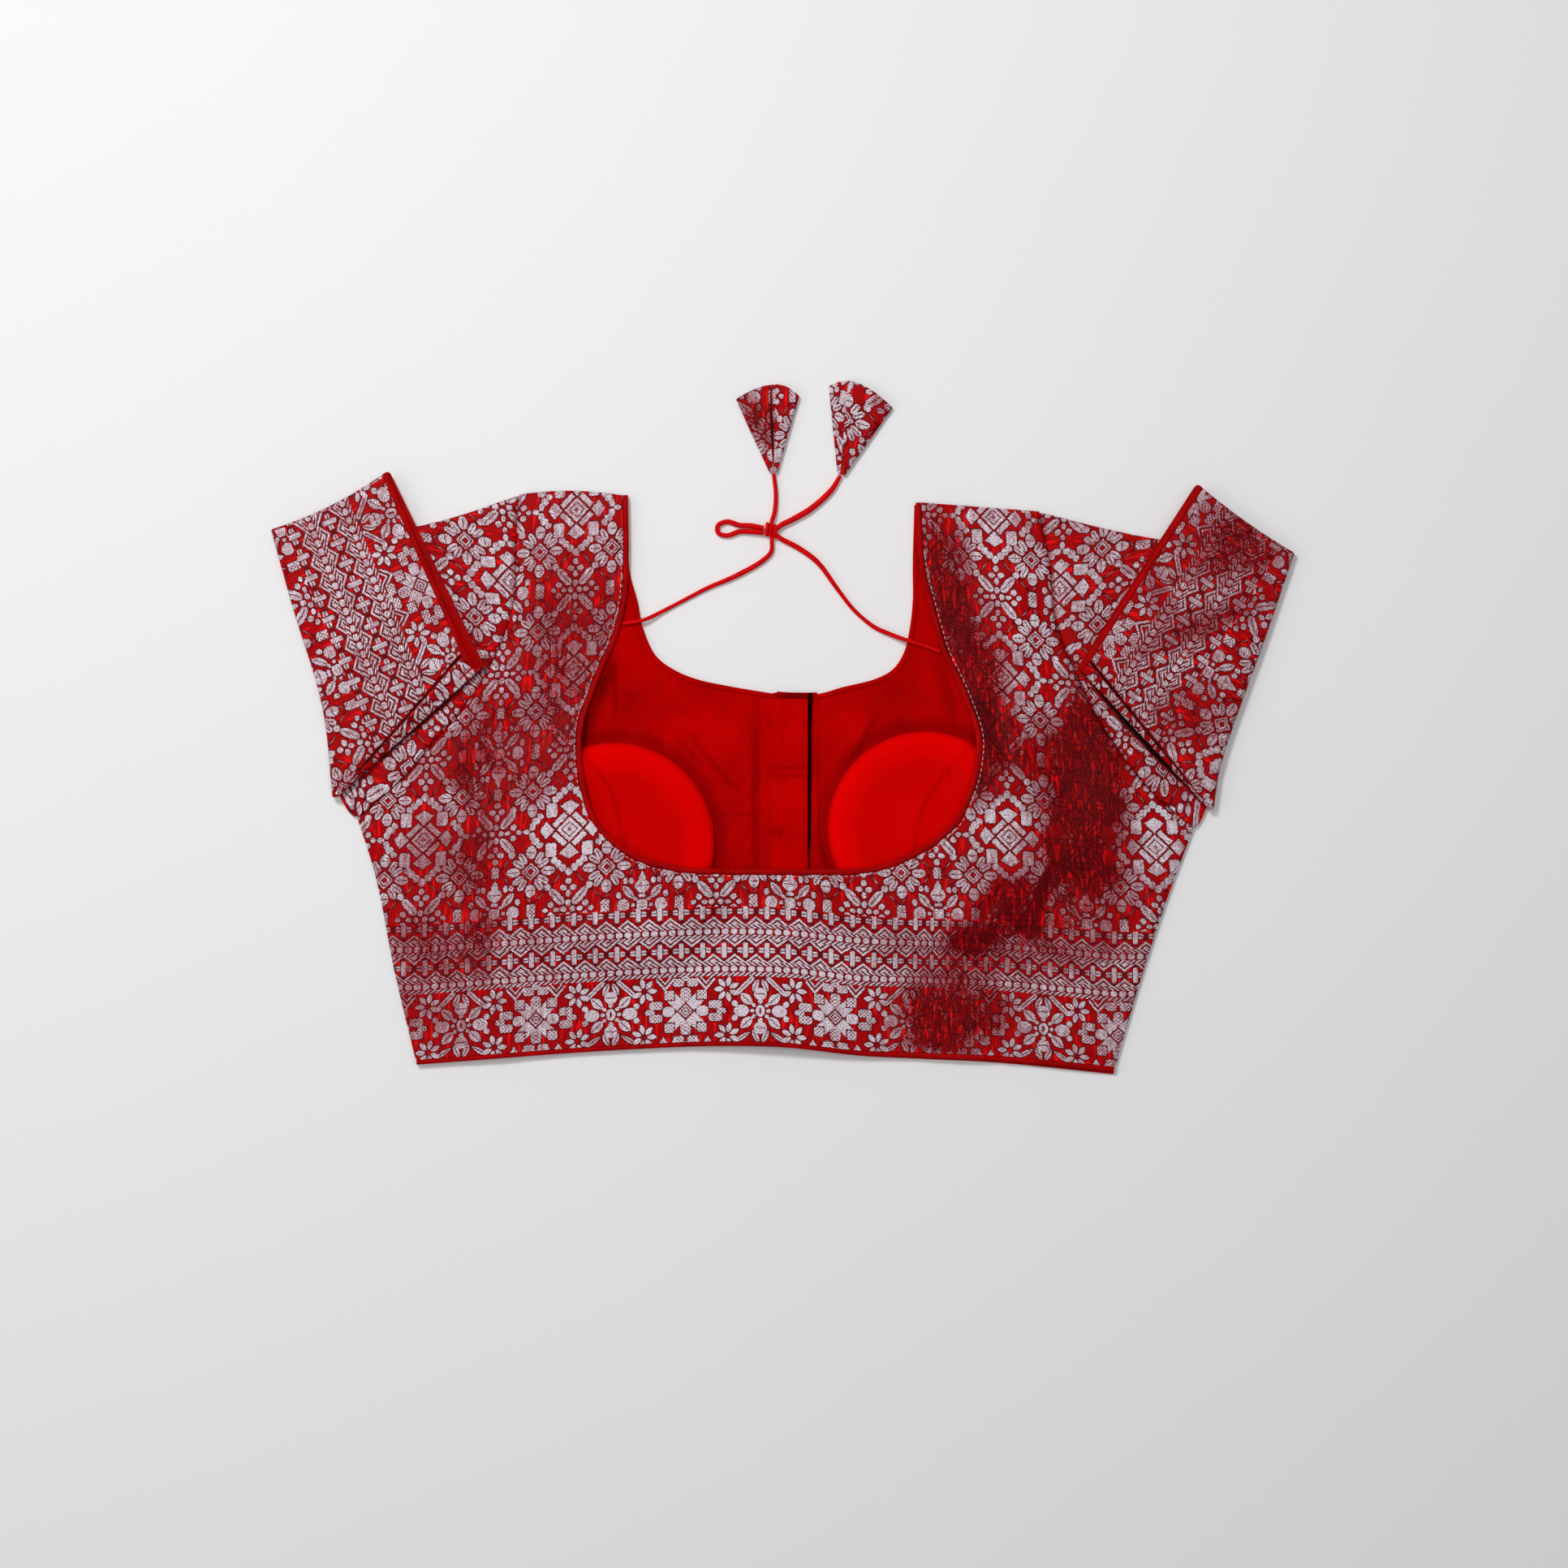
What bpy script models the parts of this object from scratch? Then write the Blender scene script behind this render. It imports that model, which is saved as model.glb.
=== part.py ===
"""A sari blouse of red and silver brocade, laid flat on its front, with its sleeves folded back.

Blender works in metres with +Z up. The tables here are in millimetres. The floor is z = 0, +Y runs from
the hem to the shoulders, and the origin is on the floor under the middle of the blouse. Left and right
are those of someone who looks down on it.
"""

import math
from collections import namedtuple

import bmesh
import bpy
import numpy as np

MM = 0.001

# Thicknesses
CLOTH = 1.2
LINING = 1.0
GAP = 0.3
LINING_LOW = CLOTH + GAP
LINING_TOP = LINING_LOW + LINING
BACK_LOW = LINING_TOP + GAP

# Bindings along the edges
NECK_BINDING = 3.6
HEM_BINDING = 3.0
FRONT_BINDING = 3.0
SLEEVE_BINDING = 3.5
BINDING_BULGE = 0.2

# Strings
CORD = 2.4
CORD_REST = 0.05

# The back, from the left shoulder round the neck to the right one. Each section runs from the edge of the
# brocade at the neck, where its binding starts, to the outline of the panel.
Section = namedtuple("Section", "name neck_x neck_y edge_x edge_y")
BACK_SECTIONS = [
    Section("left shoulder", -98.5, 171.0, -162.0, 171.5),
    Section("left strap", -98.0, 133.0, -164.0, 140.0),
    Section("left strap end", -99.5, 105.0, -164.5, 110.0),
    Section("left string", -107.0, 79.0, -172.5, 81.0),
    Section("left armhole 1", -112.0, 68.5, -186.0, 55.0),
    Section("left armhole 2", -120.5, 47.0, -199.5, 36.0),
    Section("left armhole 3", -125.5, 31.0, -211.5, 22.5),
    Section("left armhole 4", -126.5, 9.0, -234.0, -4.0),
    Section("left armpit", -123.5, -11.0, -261.5, -28.0),
    Section("left side 1", -119.0, -26.0, -250.5, -63.0),
    Section("left side 2", -106.5, -42.0, -238.5, -123.0),
    Section("left hem corner", -88.5, -54.0, -225.0, -179.5),
    Section("hem 1", -61.5, -61.0, -140.5, -173.0),
    Section("hem 2", -39.5, -62.0, -92.5, -170.0),
    Section("hem 3", -17.0, -62.5, -45.0, -168.0),
    Section("hem middle", 1.0, -62.5, 1.0, -168.5),
    Section("hem 4", 23.0, -62.5, 46.0, -173.5),
    Section("hem 5", 45.5, -62.0, 84.0, -175.0),
    Section("hem 6", 63.5, -59.0, 134.0, -177.0),
    Section("right hem corner", 86.5, -49.0, 204.0, -183.5),
    Section("right side 2", 99.0, -40.0, 221.5, -124.0),
    Section("right side 1", 109.0, -30.0, 238.0, -74.0),
    Section("right armpit", 117.0, -12.0, 253.0, -34.0),
    Section("right armhole 4", 121.5, 6.0, 233.5, -18.0),
    Section("right armhole 3", 122.0, 24.0, 221.0, -5.0),
    Section("right armhole 2", 115.0, 46.0, 196.0, 31.0),
    Section("right armhole 1", 108.5, 61.0, 178.0, 67.0),
    Section("right string", 102.0, 74.0, 168.0, 94.0),
    Section("right strap end", 94.0, 101.0, 164.5, 128.0),
    Section("right strap", 87.5, 128.0, 161.5, 144.0),
    Section("right shoulder", 85.5, 166.5, 158.0, 161.0),
]
CORNERS = [
    "left shoulder", "left armpit", "left hem corner", "right hem corner", "right armpit", "right shoulder",
]
STEPS = 2
BACK_ROWS = 8
SHOULDER_CROWN = 2.5

# Neck edges of the fronts, from the shoulder to the closing
Point = namedtuple("Point", "x y")
FRONT_NECK_LEFT = [
    Point(-96.5, 168.0), Point(-94.0, 123.0), Point(-89.5, 106.0), Point(-86.0, 89.0), Point(-78.0, 72.0),
    Point(-67.0, 63.5), Point(-52.5, 57.5), Point(-31.5, 53.0), Point(-4.5, 48.5),
]
FRONT_NECK_RIGHT = [
    Point(81.5, 165.0), Point(80.5, 128.0), Point(80.5, 106.0), Point(78.5, 88.0), Point(75.0, 74.0),
    Point(68.5, 64.0), Point(58.0, 58.0), Point(36.5, 52.5), Point(21.5, 48.5), Point(-3.5, 50.0),
]
FRONT_LEFT_END = -4.3
FRONT_RIGHT_START = -4.0
FRONT_HEM_PEEK = 2.0

# Hook bands of the closing, as sections across them
Fold = namedtuple("Fold", "x low")
OVER_BAND = [Fold(-14.0, 0.0), Fold(-5.2, 0.0), Fold(-3.0, 1.6), Fold(6.0, 1.7), Fold(15.5, 2.2)]
UNDER_BAND = [Fold(-1.4, 0.0), Fold(21.5, 0.0)]
BAND = 1.2
OVER_BAND_TOP = 45.5
UNDER_BAND_TOP = 49.5
BAND_BOTTOM = -164.0

# Cups: their middles, and the height of their upper face out from the middle
Cup = namedtuple("Cup", "name x y radius")
CUPS = [Cup("cup_left", -103.5, -43.5, 62.0), Cup("cup_right", 88.0, -34.5, 60.0)]
Ring = namedtuple("Ring", "share height")
CUP_RINGS = [
    Ring(0.34, 2.8), Ring(0.6, 3.5), Ring(0.77, 4.8), Ring(0.87, 5.4), Ring(0.95, 4.5), Ring(1.0, 1.3),
]
CUP_MIDDLE = 2.6
CUP_STEPS = 28

# How the back lies over what is under it, and its largest soft ridges
CUP_REACH = 1.55
CUP_LIFT = 6.6
BAND_LIFT = 4.7
BAND_REACH = 42.0
Ridge = namedtuple("Ridge", "name x y to_x to_y reach height")
BACK_RIDGES = [
    Ridge("left side drag", -215.0, -10.0, -150.0, -120.0, 26.0, 3.2),
    Ridge("left strap swell", -140.0, 120.0, -160.0, 40.0, 20.0, 2.0),
    Ridge("left hem wave", -190.0, -110.0, -178.0, -172.0, 18.0, 2.2),
    Ridge("right neck swell", 140.0, 105.0, 152.0, 10.0, 20.0, 3.4),
    Ridge("right side drag", 205.0, -15.0, 150.0, -85.0, 22.0, 3.6),
    Ridge("right hem wave", 118.0, -105.0, 112.0, -175.0, 16.0, 2.6),
    Ridge("right corner swell", 190.0, -90.0, 182.0, -160.0, 18.0, 2.2),
]

# Sleeves: tubes laid flat, with a fold line from the top to the underarm, and hem lines of both plies.
# Their top edge dips a little between the shoulder and the fold, and between the fold and the hem.
FOLD_LINE = "fold_top fold_upper fold_lower fold_end"
HEM_LINES = "hem_top hem_end under_hem_top under_hem_end"
Sleeve = namedtuple("Sleeve", f"side out {FOLD_LINE} {HEM_LINES} dip folded_dip")
LEFT_SLEEVE = Sleeve(
    "left", -1, Point(-314.5, 148.5), Point(-301.5, 102.0), Point(-283.0, 40.0), Point(-277.0, -14.0),
    Point(-242.0, 183.0), Point(-193.0, 72.0), Point(-240.5, 183.5), Point(-183.0, 66.0), 11.0, 3.0,
)
RIGHT_SLEEVE = Sleeve(
    "right", 1, Point(315.0, 134.5), Point(298.0, 85.0), Point(270.0, 5.0), Point(265.5, -21.5),
    Point(254.5, 175.5), Point(186.0, 70.0), Point(253.0, 175.5), Point(181.5, 65.5), 5.5, 1.5,
)
UNDERARM_SAG = 2.5
TUBE_AT_ARMHOLE = 4.0
TUBE_AT_FOLD = 3.2
TUBE_AT_HEM = 4.1
FOLD_TOP_RADIUS = 1.9
FOLD_END_RADIUS = 3.0
HEM_RISE = 1.2
PUFF = 1.4
ARMHOLE_GAP = 0.6
FACING = 14.0
SLEEVE_COLUMNS = 11
TUBE_ROWS = 6
TURN_ROWS = 6

# Strings, as the middle of the cord: from the back neck to the knot, the bow loop, and the tails
Route = namedtuple("Route", "x y z")
FLOOR = CORD / 2 + CORD_REST
ON_LINING = LINING_TOP + CORD / 2 + 0.4
STRING_LEFT = [
    Route(-98.3, 92.0, ON_LINING), Route(-91.5, 92.8, ON_LINING), Route(-84.5, 94.4, 4.0),
    Route(-75.0, 99.0, 1.9), Route(-61.5, 106.0, FLOOR), Route(-46.0, 114.0, FLOOR),
    Route(-29.5, 121.0, FLOOR), Route(-12.5, 130.5, FLOOR), Route(-6.8, 136.5, 1.6), Route(-6.4, 143.9, 2.2),
]
STRING_RIGHT = [
    Route(97.0, 74.6, ON_LINING), Route(88.0, 78.0, ON_LINING), Route(75.5, 82.0, 4.2),
    Route(66.0, 85.6, 2.1), Route(56.5, 90.0, FLOOR), Route(44.5, 100.0, FLOOR),
    Route(34.5, 112.5, FLOOR), Route(21.5, 130.0, FLOOR), Route(9.5, 138.8, FLOOR), Route(-2.2, 145.2, 2.2),
]
LOOP = [
    Route(-12.4, 151.2, 2.4), Route(-20.0, 153.2, 1.6), Route(-28.0, 154.8, FLOOR),
    Route(-35.0, 155.0, FLOOR), Route(-39.6, 151.4, FLOOR), Route(-37.0, 147.2, FLOOR),
    Route(-30.0, 145.4, FLOOR), Route(-21.0, 145.8, 1.8), Route(-12.4, 147.2, 2.4),
]
TAIL_LEFT = [
    Route(-6.6, 154.4, 2.3), Route(-4.9, 160.0, 1.7), Route(-4.0, 171.0, FLOOR), Route(-5.4, 184.4, 1.9),
]
TAIL_RIGHT = [
    Route(-1.6, 152.0, 2.3), Route(7.0, 156.4, 1.7), Route(18.0, 163.0, FLOOR), Route(30.0, 174.0, FLOOR),
    Route(35.6, 183.0, 1.9),
]
KNOT_MIDDLE = Route(-6.6, 149.2, 2.7)
KNOT_SIZE = Route(5.6, 4.9, 2.65)

# Tassels: a wedge of brocade wrapped flat round its string, with one flap over the other
Tassel = namedtuple("Tassel", "name apex left crown right seam")
TASSELS = [
    Tassel(
        "tassel_left", Point(-5.5, 185.2), Point(-28.5, 230.0), Point(-6.0, 239.0), Point(10.0, 232.0), 0.1,
    ),
    Tassel(
        "tassel_right", Point(36.2, 184.0), Point(29.0, 238.0), Point(46.0, 240.0), Point(67.5, 225.0), -0.3,
    ),
]
FLAP_INNER = 2.25
FLAP_OUTER = 3.85
TASSEL_NECK = 2.0
TASSEL_ROWS = 6


def clear_scene():
    for thing in list(bpy.data.objects):
        bpy.data.objects.remove(thing, do_unlink=True)


def finish_of(name, colour, roughness, metallic=0.0):
    material = bpy.data.materials.new(name)
    material.use_nodes = True
    shader = material.node_tree.nodes["Principled BSDF"]
    shader.inputs["Base Color"].default_value = (*colour, 1.0)
    shader.inputs["Roughness"].default_value = roughness
    shader.inputs["Metallic"].default_value = metallic
    return material


def make_object(name, mesh, material):
    builder = bmesh.new()
    builder.from_mesh(mesh)
    bmesh.ops.recalc_face_normals(builder, faces=builder.faces)
    builder.to_mesh(mesh)
    builder.free()
    mesh.materials.append(material)
    mesh.shade_smooth()
    mesh.set_sharp_from_angle(angle=math.radians(40))
    thing = bpy.data.objects.new(name, mesh)
    bpy.context.scene.collection.objects.link(thing)
    return thing


def solid(name, points, faces, material):
    mesh = bpy.data.meshes.new(name)
    mesh.from_pydata([tuple(float(value) * MM for value in point) for point in points], [], faces)
    return make_object(name, mesh, material)


def smooth_line(rows, steps):
    """Points of a smooth curve through the rows, with this many steps from one row to the next."""
    knots = np.array(rows, float)
    spans = np.sqrt(np.linalg.norm(np.diff(knots, axis=0), axis=1))
    slopes = np.diff(knots, axis=0) / spans[:, None]
    before, after = spans[:-1, None], spans[1:, None]
    middle = (slopes[:-1] * after + slopes[1:] * before) / (before + after)
    tangents = np.vstack([slopes[:1], middle, slopes[-1:]])
    line = []
    for i, span in enumerate(spans):
        for t in np.arange(steps) / steps:
            line.append(
                (2 * t**3 - 3 * t**2 + 1) * knots[i]
                + (t**3 - 2 * t**2 + t) * span * tangents[i]
                + (3 * t**2 - 2 * t**3) * knots[i + 1]
                + (t**3 - t**2) * span * tangents[i + 1]
            )
    return np.array(line + [knots[-1]])


def along(line, shares):
    """Points at these shares of a line's length."""
    steps = np.linalg.norm(np.diff(line, axis=0), axis=1)
    run = np.concatenate([[0.0], np.cumsum(steps)])
    return np.stack([np.interp(np.asarray(shares) * run[-1], run, column) for column in line.T], axis=1)


def sideways(line, towards):
    """Unit vectors square to a flat line, all on the side where most of the given points are."""
    ahead = np.gradient(line, axis=0)
    square = np.stack([-ahead[:, 1], ahead[:, 0]], axis=1)
    square /= np.linalg.norm(square, axis=1)[:, None]
    return square * np.sign(np.sum(square * (towards - line)))


def smoothstep(value):
    value = np.clip(value, 0.0, 1.0)
    return value * value * (3 - 2 * value)


def wall(name, low, high, material, ring=False):
    """A solid between two grids of points. A ring's last column joins its first."""
    rows, columns = low.shape[:2]
    points = np.vstack([low.reshape(-1, 3), high.reshape(-1, 3)])
    top = rows * columns

    def at(row, column):
        return row * columns + column % columns

    faces = []
    for row in range(rows - 1):
        for column in range(columns if ring else columns - 1):
            quad = [at(row, column), at(row, column + 1), at(row + 1, column + 1), at(row + 1, column)]
            faces.append([top + corner for corner in quad])
            faces.append(quad[::-1])
    for column in range(columns if ring else columns - 1):
        for row in (0, rows - 1):
            near, far = at(row, column), at(row, column + 1)
            faces.append([near, far, top + far, top + near])
    if not ring:
        for row in range(rows - 1):
            for column in (0, columns - 1):
                near, far = at(row, column), at(row + 1, column)
                faces.append([near, far, top + far, top + near])
    return solid(name, points, faces, material)


def slab(name, outline, low, high, material):
    """A flat piece of cloth with this outline."""
    count = len(outline)
    points = [(x, y, low) for x, y in outline] + [(x, y, high) for x, y in outline]
    faces = [list(range(count)), list(range(count, 2 * count))]
    for i in range(count):
        j = (i + 1) % count
        faces.append([i, j, count + j, count + i])
    return solid(name, points, faces, material)


def binding(name, line, heights, width, depth, material):
    """A folded strip with a rounded section, along a line at these heights of its underside."""
    sides = 8
    across = sideways(line, line.mean(axis=0))
    rings = []
    for i in range(sides):
        turn = 2 * math.pi * (i + 0.5) / sides
        stretch = 1 / math.cos(math.pi / sides)
        out = across * (width / 2) * math.cos(turn) * stretch
        up = heights + depth / 2 + depth / 2 * math.sin(turn) * stretch
        rings.append(np.column_stack([line + out, up]))
    grid = np.array(rings)
    count = len(line)
    points = grid.reshape(-1, 3)
    faces = [[i * count for i in range(sides)], [i * count + count - 1 for i in range(sides)]]
    for i in range(sides):
        j = (i + 1) % sides
        for k in range(count - 1):
            faces.append([i * count + k, j * count + k, j * count + k + 1, i * count + k + 1])
    return solid(name, points, faces, material)


def back_outline():
    """The finished neck edge and outline of the back, and the column of each named section."""
    neck = smooth_line([(s.neck_x, s.neck_y) for s in BACK_SECTIONS], STEPS)
    names = [s.name for s in BACK_SECTIONS]
    edge = np.zeros((0, 2))
    for first, last in zip(CORNERS, CORNERS[1:]):
        part = BACK_SECTIONS[names.index(first) : names.index(last) + 1]
        line = smooth_line([(s.edge_x, s.edge_y) for s in part], STEPS)
        edge = np.vstack([edge[:-1], line])
    columns = {name: i * STEPS for i, name in enumerate(names)}
    return neck, edge, columns


def lay_height(x, y):
    """Height of the underside of the back over the lining, cups and closing."""
    band = BAND_LIFT * np.exp(-(((x - 1.0) / BAND_REACH) ** 2)) * smoothstep((60.0 - y) / 90.0)
    lifts = [band]
    for cup in CUPS:
        away = np.hypot(x - cup.x, y - cup.y) / cup.radius
        lifts.append(CUP_LIFT * smoothstep((CUP_REACH - away) / (CUP_REACH - 0.93)))
    lift = sum(value**4 for value in lifts) ** 0.25
    for ridge in BACK_RIDGES:
        start, end = np.array([ridge.x, ridge.y]), np.array([ridge.to_x, ridge.to_y])
        run = end - start
        share = ((x - start[0]) * run[0] + (y - start[1]) * run[1]) / (run @ run)
        near = np.clip(share, 0.0, 1.0)
        away = np.hypot(x - start[0] - near * run[0], y - start[1] - near * run[1])
        lift = lift + ridge.height * np.exp(-((away / ridge.reach) ** 2)) * (1 - 0.35 * near)
    return BACK_LOW + lift


def build_back(neck, edge, columns, brocade, satin):
    """The back, its neck binding and its hem binding."""
    inward = sideways(neck, edge)
    start = neck + inward * GAP
    finish = edge.copy()
    hem = slice(columns["left hem corner"], columns["right hem corner"] + 1)
    finish[hem, 1] += HEM_BINDING + GAP
    shares = np.linspace(0.0, 1.0, BACK_ROWS)
    flat = start[None] + shares[:, None, None] * (finish - start)[None]
    crown = SHOULDER_CROWN * np.sin(math.pi * shares)
    flat[:, 0, 1] += crown
    seam_drop = np.ones(flat.shape[:2])
    sewn = (columns["left shoulder"], columns["right shoulder"])
    armholes_and_sides = list(range(sewn[0], hem.start)) + list(range(hem.stop, sewn[1] + 1))
    seam_drop[-1, armholes_and_sides] = 0.0
    seam_drop[-2, armholes_and_sides] = 0.6
    seam_drop[:, sewn[0]] = 0.0
    seam_drop[:, sewn[1]] = 0.0
    heights = lay_height(flat[..., 0], flat[..., 1])
    heights = BACK_LOW + (heights - BACK_LOW) * seam_drop
    low = np.dstack([flat, heights])
    high = np.dstack([flat, heights + CLOTH])
    wall("back_panel", low, high, brocade)
    middle = neck - inward * NECK_BINDING / 2
    binding("neck_piping_back", middle, heights[0] - 0.1, NECK_BINDING, CLOTH + 0.6, satin)
    line = edge[hem] + np.array([0.0, HEM_BINDING / 2])
    binding("hem_piping_back", line, heights[-1, hem] - 0.1, HEM_BINDING, CLOTH + 0.4, satin)


def build_front(side, neck_rows, edge, columns, brocade, lining, satin):
    """One front, its lining and the bindings on its neck and hem."""
    left = side == "left"
    middle = columns["hem middle"]
    hem_end = columns[f"{side} hem corner"]
    shoulder = columns[f"{side} shoulder"]
    closing = FRONT_LEFT_END if left else FRONT_RIGHT_START
    neck = smooth_line(neck_rows, STEPS)
    outline = edge[shoulder : middle + 1] if left else edge[middle : shoulder + 1][::-1]
    hem_start = abs(hem_end - shoulder)
    hem_line = outline[hem_start:].copy()
    hem_line[:, 1] -= FRONT_HEM_PEEK * np.linspace(0.0 if left else 1.0, 0.0, len(hem_line))
    hem_line[-1] = (closing, np.interp(closing, *hem_line[np.argsort(hem_line[:, 0])].T))
    inner_hem = hem_line + np.array([0.0, FRONT_BINDING + GAP])
    towards = np.tile([2.0 * outline[3, 0], -60.0], (len(neck), 1))
    inward = sideways(neck, towards)
    inner_neck = neck + inward * (FRONT_BINDING + GAP)
    inner_neck[-1] = (closing, inner_neck[-1, 1])
    shape = np.vstack([inner_neck, inner_hem[::-1], outline[:hem_start][::-1]])
    slab(f"front_{side}", shape, 0.0, CLOTH, brocade)
    slab(f"lining_{side}", shape, LINING_LOW, LINING_TOP, lining)
    binding(
        f"neck_piping_front_{side}", neck + inward * FRONT_BINDING / 2,
        np.full(len(neck), 0.2), FRONT_BINDING, LINING_TOP - 0.3, satin,
    )
    binding(
        f"hem_piping_front_{side}", hem_line + np.array([0.0, FRONT_BINDING / 2]),
        np.full(len(hem_line), 0.1), FRONT_BINDING, LINING_TOP - 0.2, satin,
    )


def build_band(name, folds, lift, top, cloth):
    """A hook band, lofted from its section down the closing."""
    places = np.linspace(top, BAND_BOTTOM, 3)
    low = np.array([[(fold.x, y, LINING_TOP + lift + fold.low) for fold in folds] for y in places])
    high = low + np.array([0.0, 0.0, BAND])
    wall(name, low, high, cloth)


def build_cup(cup, cloth):
    base = LINING_TOP + GAP
    points = [(cup.x, cup.y, base + CUP_MIDDLE)]
    for ring in CUP_RINGS + [Ring(1.0, 0.0)]:
        for i in range(CUP_STEPS):
            turn = 2 * math.pi * i / CUP_STEPS
            reach = cup.radius * ring.share
            place = (cup.x + reach * math.cos(turn), cup.y + reach * math.sin(turn), base + ring.height)
            points.append(place)
    faces = [[0, 1 + i, 1 + (i + 1) % CUP_STEPS] for i in range(CUP_STEPS)]
    for ring in range(len(CUP_RINGS)):
        start = 1 + ring * CUP_STEPS
        for i in range(CUP_STEPS):
            j = (i + 1) % CUP_STEPS
            faces.append([start + i, start + j, start + CUP_STEPS + j, start + CUP_STEPS + i])
    last = 1 + len(CUP_RINGS) * CUP_STEPS
    faces.append(list(range(last, last + CUP_STEPS)))
    return solid(cup.name, points, faces, cloth)


def tube_ring(line, ahead, normal, middle, half, wall_share):
    """Points round a flat tube: one ply, its fold, the other ply and its fold.

    The line has one row for each column across the sleeve, for the outer and the inner ply.
    """
    inset = half - wall_share
    outer, inner = line
    up = normal[None] * inset
    lift = np.array([0.0, 0.0, 1.0]) * middle[:, None]
    points = [outer[i] + lift[i] + up[0] for i in range(len(outer))]
    for turn in (math.pi / 4, 0.0, -math.pi / 4):
        both = (outer[-1] + inner[-1]) / 2 + (outer[-1] - inner[-1]) / 2 * math.sin(turn)
        points.append(both + lift[-1] + ahead[-1] * inset * math.cos(turn) + normal * inset * math.sin(turn))
    points += [inner[i] + lift[i] - up[0] for i in reversed(range(len(inner)))]
    for turn in (-math.pi / 4, 0.0, math.pi / 4):
        both = (outer[0] + inner[0]) / 2 + (outer[0] - inner[0]) / 2 * math.sin(turn)
        points.append(both + lift[0] - ahead[0] * inset * math.cos(turn) + normal * inset * math.sin(turn))
    return points


class SleeveForm:
    """The places of a sleeve's points, from the armhole over the fold line to the hem."""

    def __init__(self, spec, armhole):
        self.spec = spec
        self.shares = np.linspace(0.0, 1.0, SLEEVE_COLUMNS)
        inset = (TUBE_AT_ARMHOLE / 2) / np.linalg.norm(armhole[0] - armhole[-1])
        start = along(armhole, inset + self.shares * (1 - 2 * inset))
        away = sideways(start, start + np.array([300.0 * spec.out, 0.0]))
        self.start = start + away * ARMHOLE_GAP
        fold_points = [spec.fold_top, spec.fold_upper, spec.fold_lower, spec.fold_end]
        self.fold = along(smooth_line(fold_points, 6), self.shares)
        self.out = sideways(self.fold, self.fold + np.array([300.0 * spec.out, 0.0])).mean(axis=0)
        self.out /= np.linalg.norm(self.out)
        self.radius = FOLD_TOP_RADIUS + (FOLD_END_RADIUS - FOLD_TOP_RADIUS) * self.shares
        reach = (self.radius + TUBE_AT_FOLD / 2)[:, None]
        self.axis = self.fold - self.out * reach
        self.hem = along(np.array([spec.hem_top, spec.hem_end]), self.shares)
        self.under_hem = along(np.array([spec.under_hem_top, spec.under_hem_end]), self.shares)

    def ahead(self, line):
        run = np.gradient(line, axis=0)
        run /= np.linalg.norm(run, axis=1)[:, None]
        return np.column_stack([run, np.zeros(len(run))])

    def before_fold(self, share, wall_share):
        line = self.start + share * (self.axis - self.start)
        sag = self.spec.dip * (1 - self.shares) ** 2 + UNDERARM_SAG * self.shares**4
        line[:, 1] -= math.sin(math.pi * share) * sag
        tube = TUBE_AT_ARMHOLE + share * (TUBE_AT_FOLD - TUBE_AT_ARMHOLE)
        flat = np.column_stack([line, np.zeros(len(line))])
        down = np.array([0.0, 0.0, -1.0])
        middle = np.full(len(line), tube / 2)
        return tube_ring((flat, flat), self.ahead(line), down, middle, tube / 2, wall_share)

    def at_fold(self, turn, wall_share):
        out = np.append(self.out, 0.0)
        normal = out * math.sin(turn) - np.array([0.0, 0.0, 1.0]) * math.cos(turn)
        middle = TUBE_AT_FOLD / 2 + self.radius * (1 - math.cos(turn))
        line = self.axis + self.out * (self.radius * math.sin(turn))[:, None]
        flat = np.column_stack([line, np.zeros(len(line))])
        return tube_ring((flat, flat), self.ahead(line), normal, middle, TUBE_AT_FOLD / 2, wall_share)

    def folded_heights(self, share):
        """Height of the underside of the part that is folded back, which also swells a little."""
        swell = PUFF * np.sin(math.pi * share) * np.sin(math.pi * self.shares)
        return 2 * self.radius + HEM_RISE * share + swell

    def folded_line(self, back_from_hem, share):
        """Both plies at a share of the way to the hem, which stops short of it by a distance."""
        lines = []
        for hem in (self.hem, self.under_hem):
            run = hem - self.axis
            whole = np.linalg.norm(run, axis=1)[:, None]
            flat = self.axis + run * share * (whole - back_from_hem) / whole
            flat[:, 1] -= math.sin(math.pi * share) * self.spec.folded_dip * (1 - self.shares) ** 2
            lines.append(np.column_stack([flat, np.zeros(len(flat))]))
        return lines

    def after_fold(self, share, wall_share, back_from_hem=0.0):
        lines = self.folded_line(back_from_hem, share)
        tube = TUBE_AT_FOLD + share * (TUBE_AT_HEM - TUBE_AT_FOLD)
        middle = self.folded_heights(share) + tube / 2
        up = np.array([0.0, 0.0, 1.0])
        return tube_ring(lines, self.ahead(lines[0][:, :2]), up, middle, tube / 2, wall_share)


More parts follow.
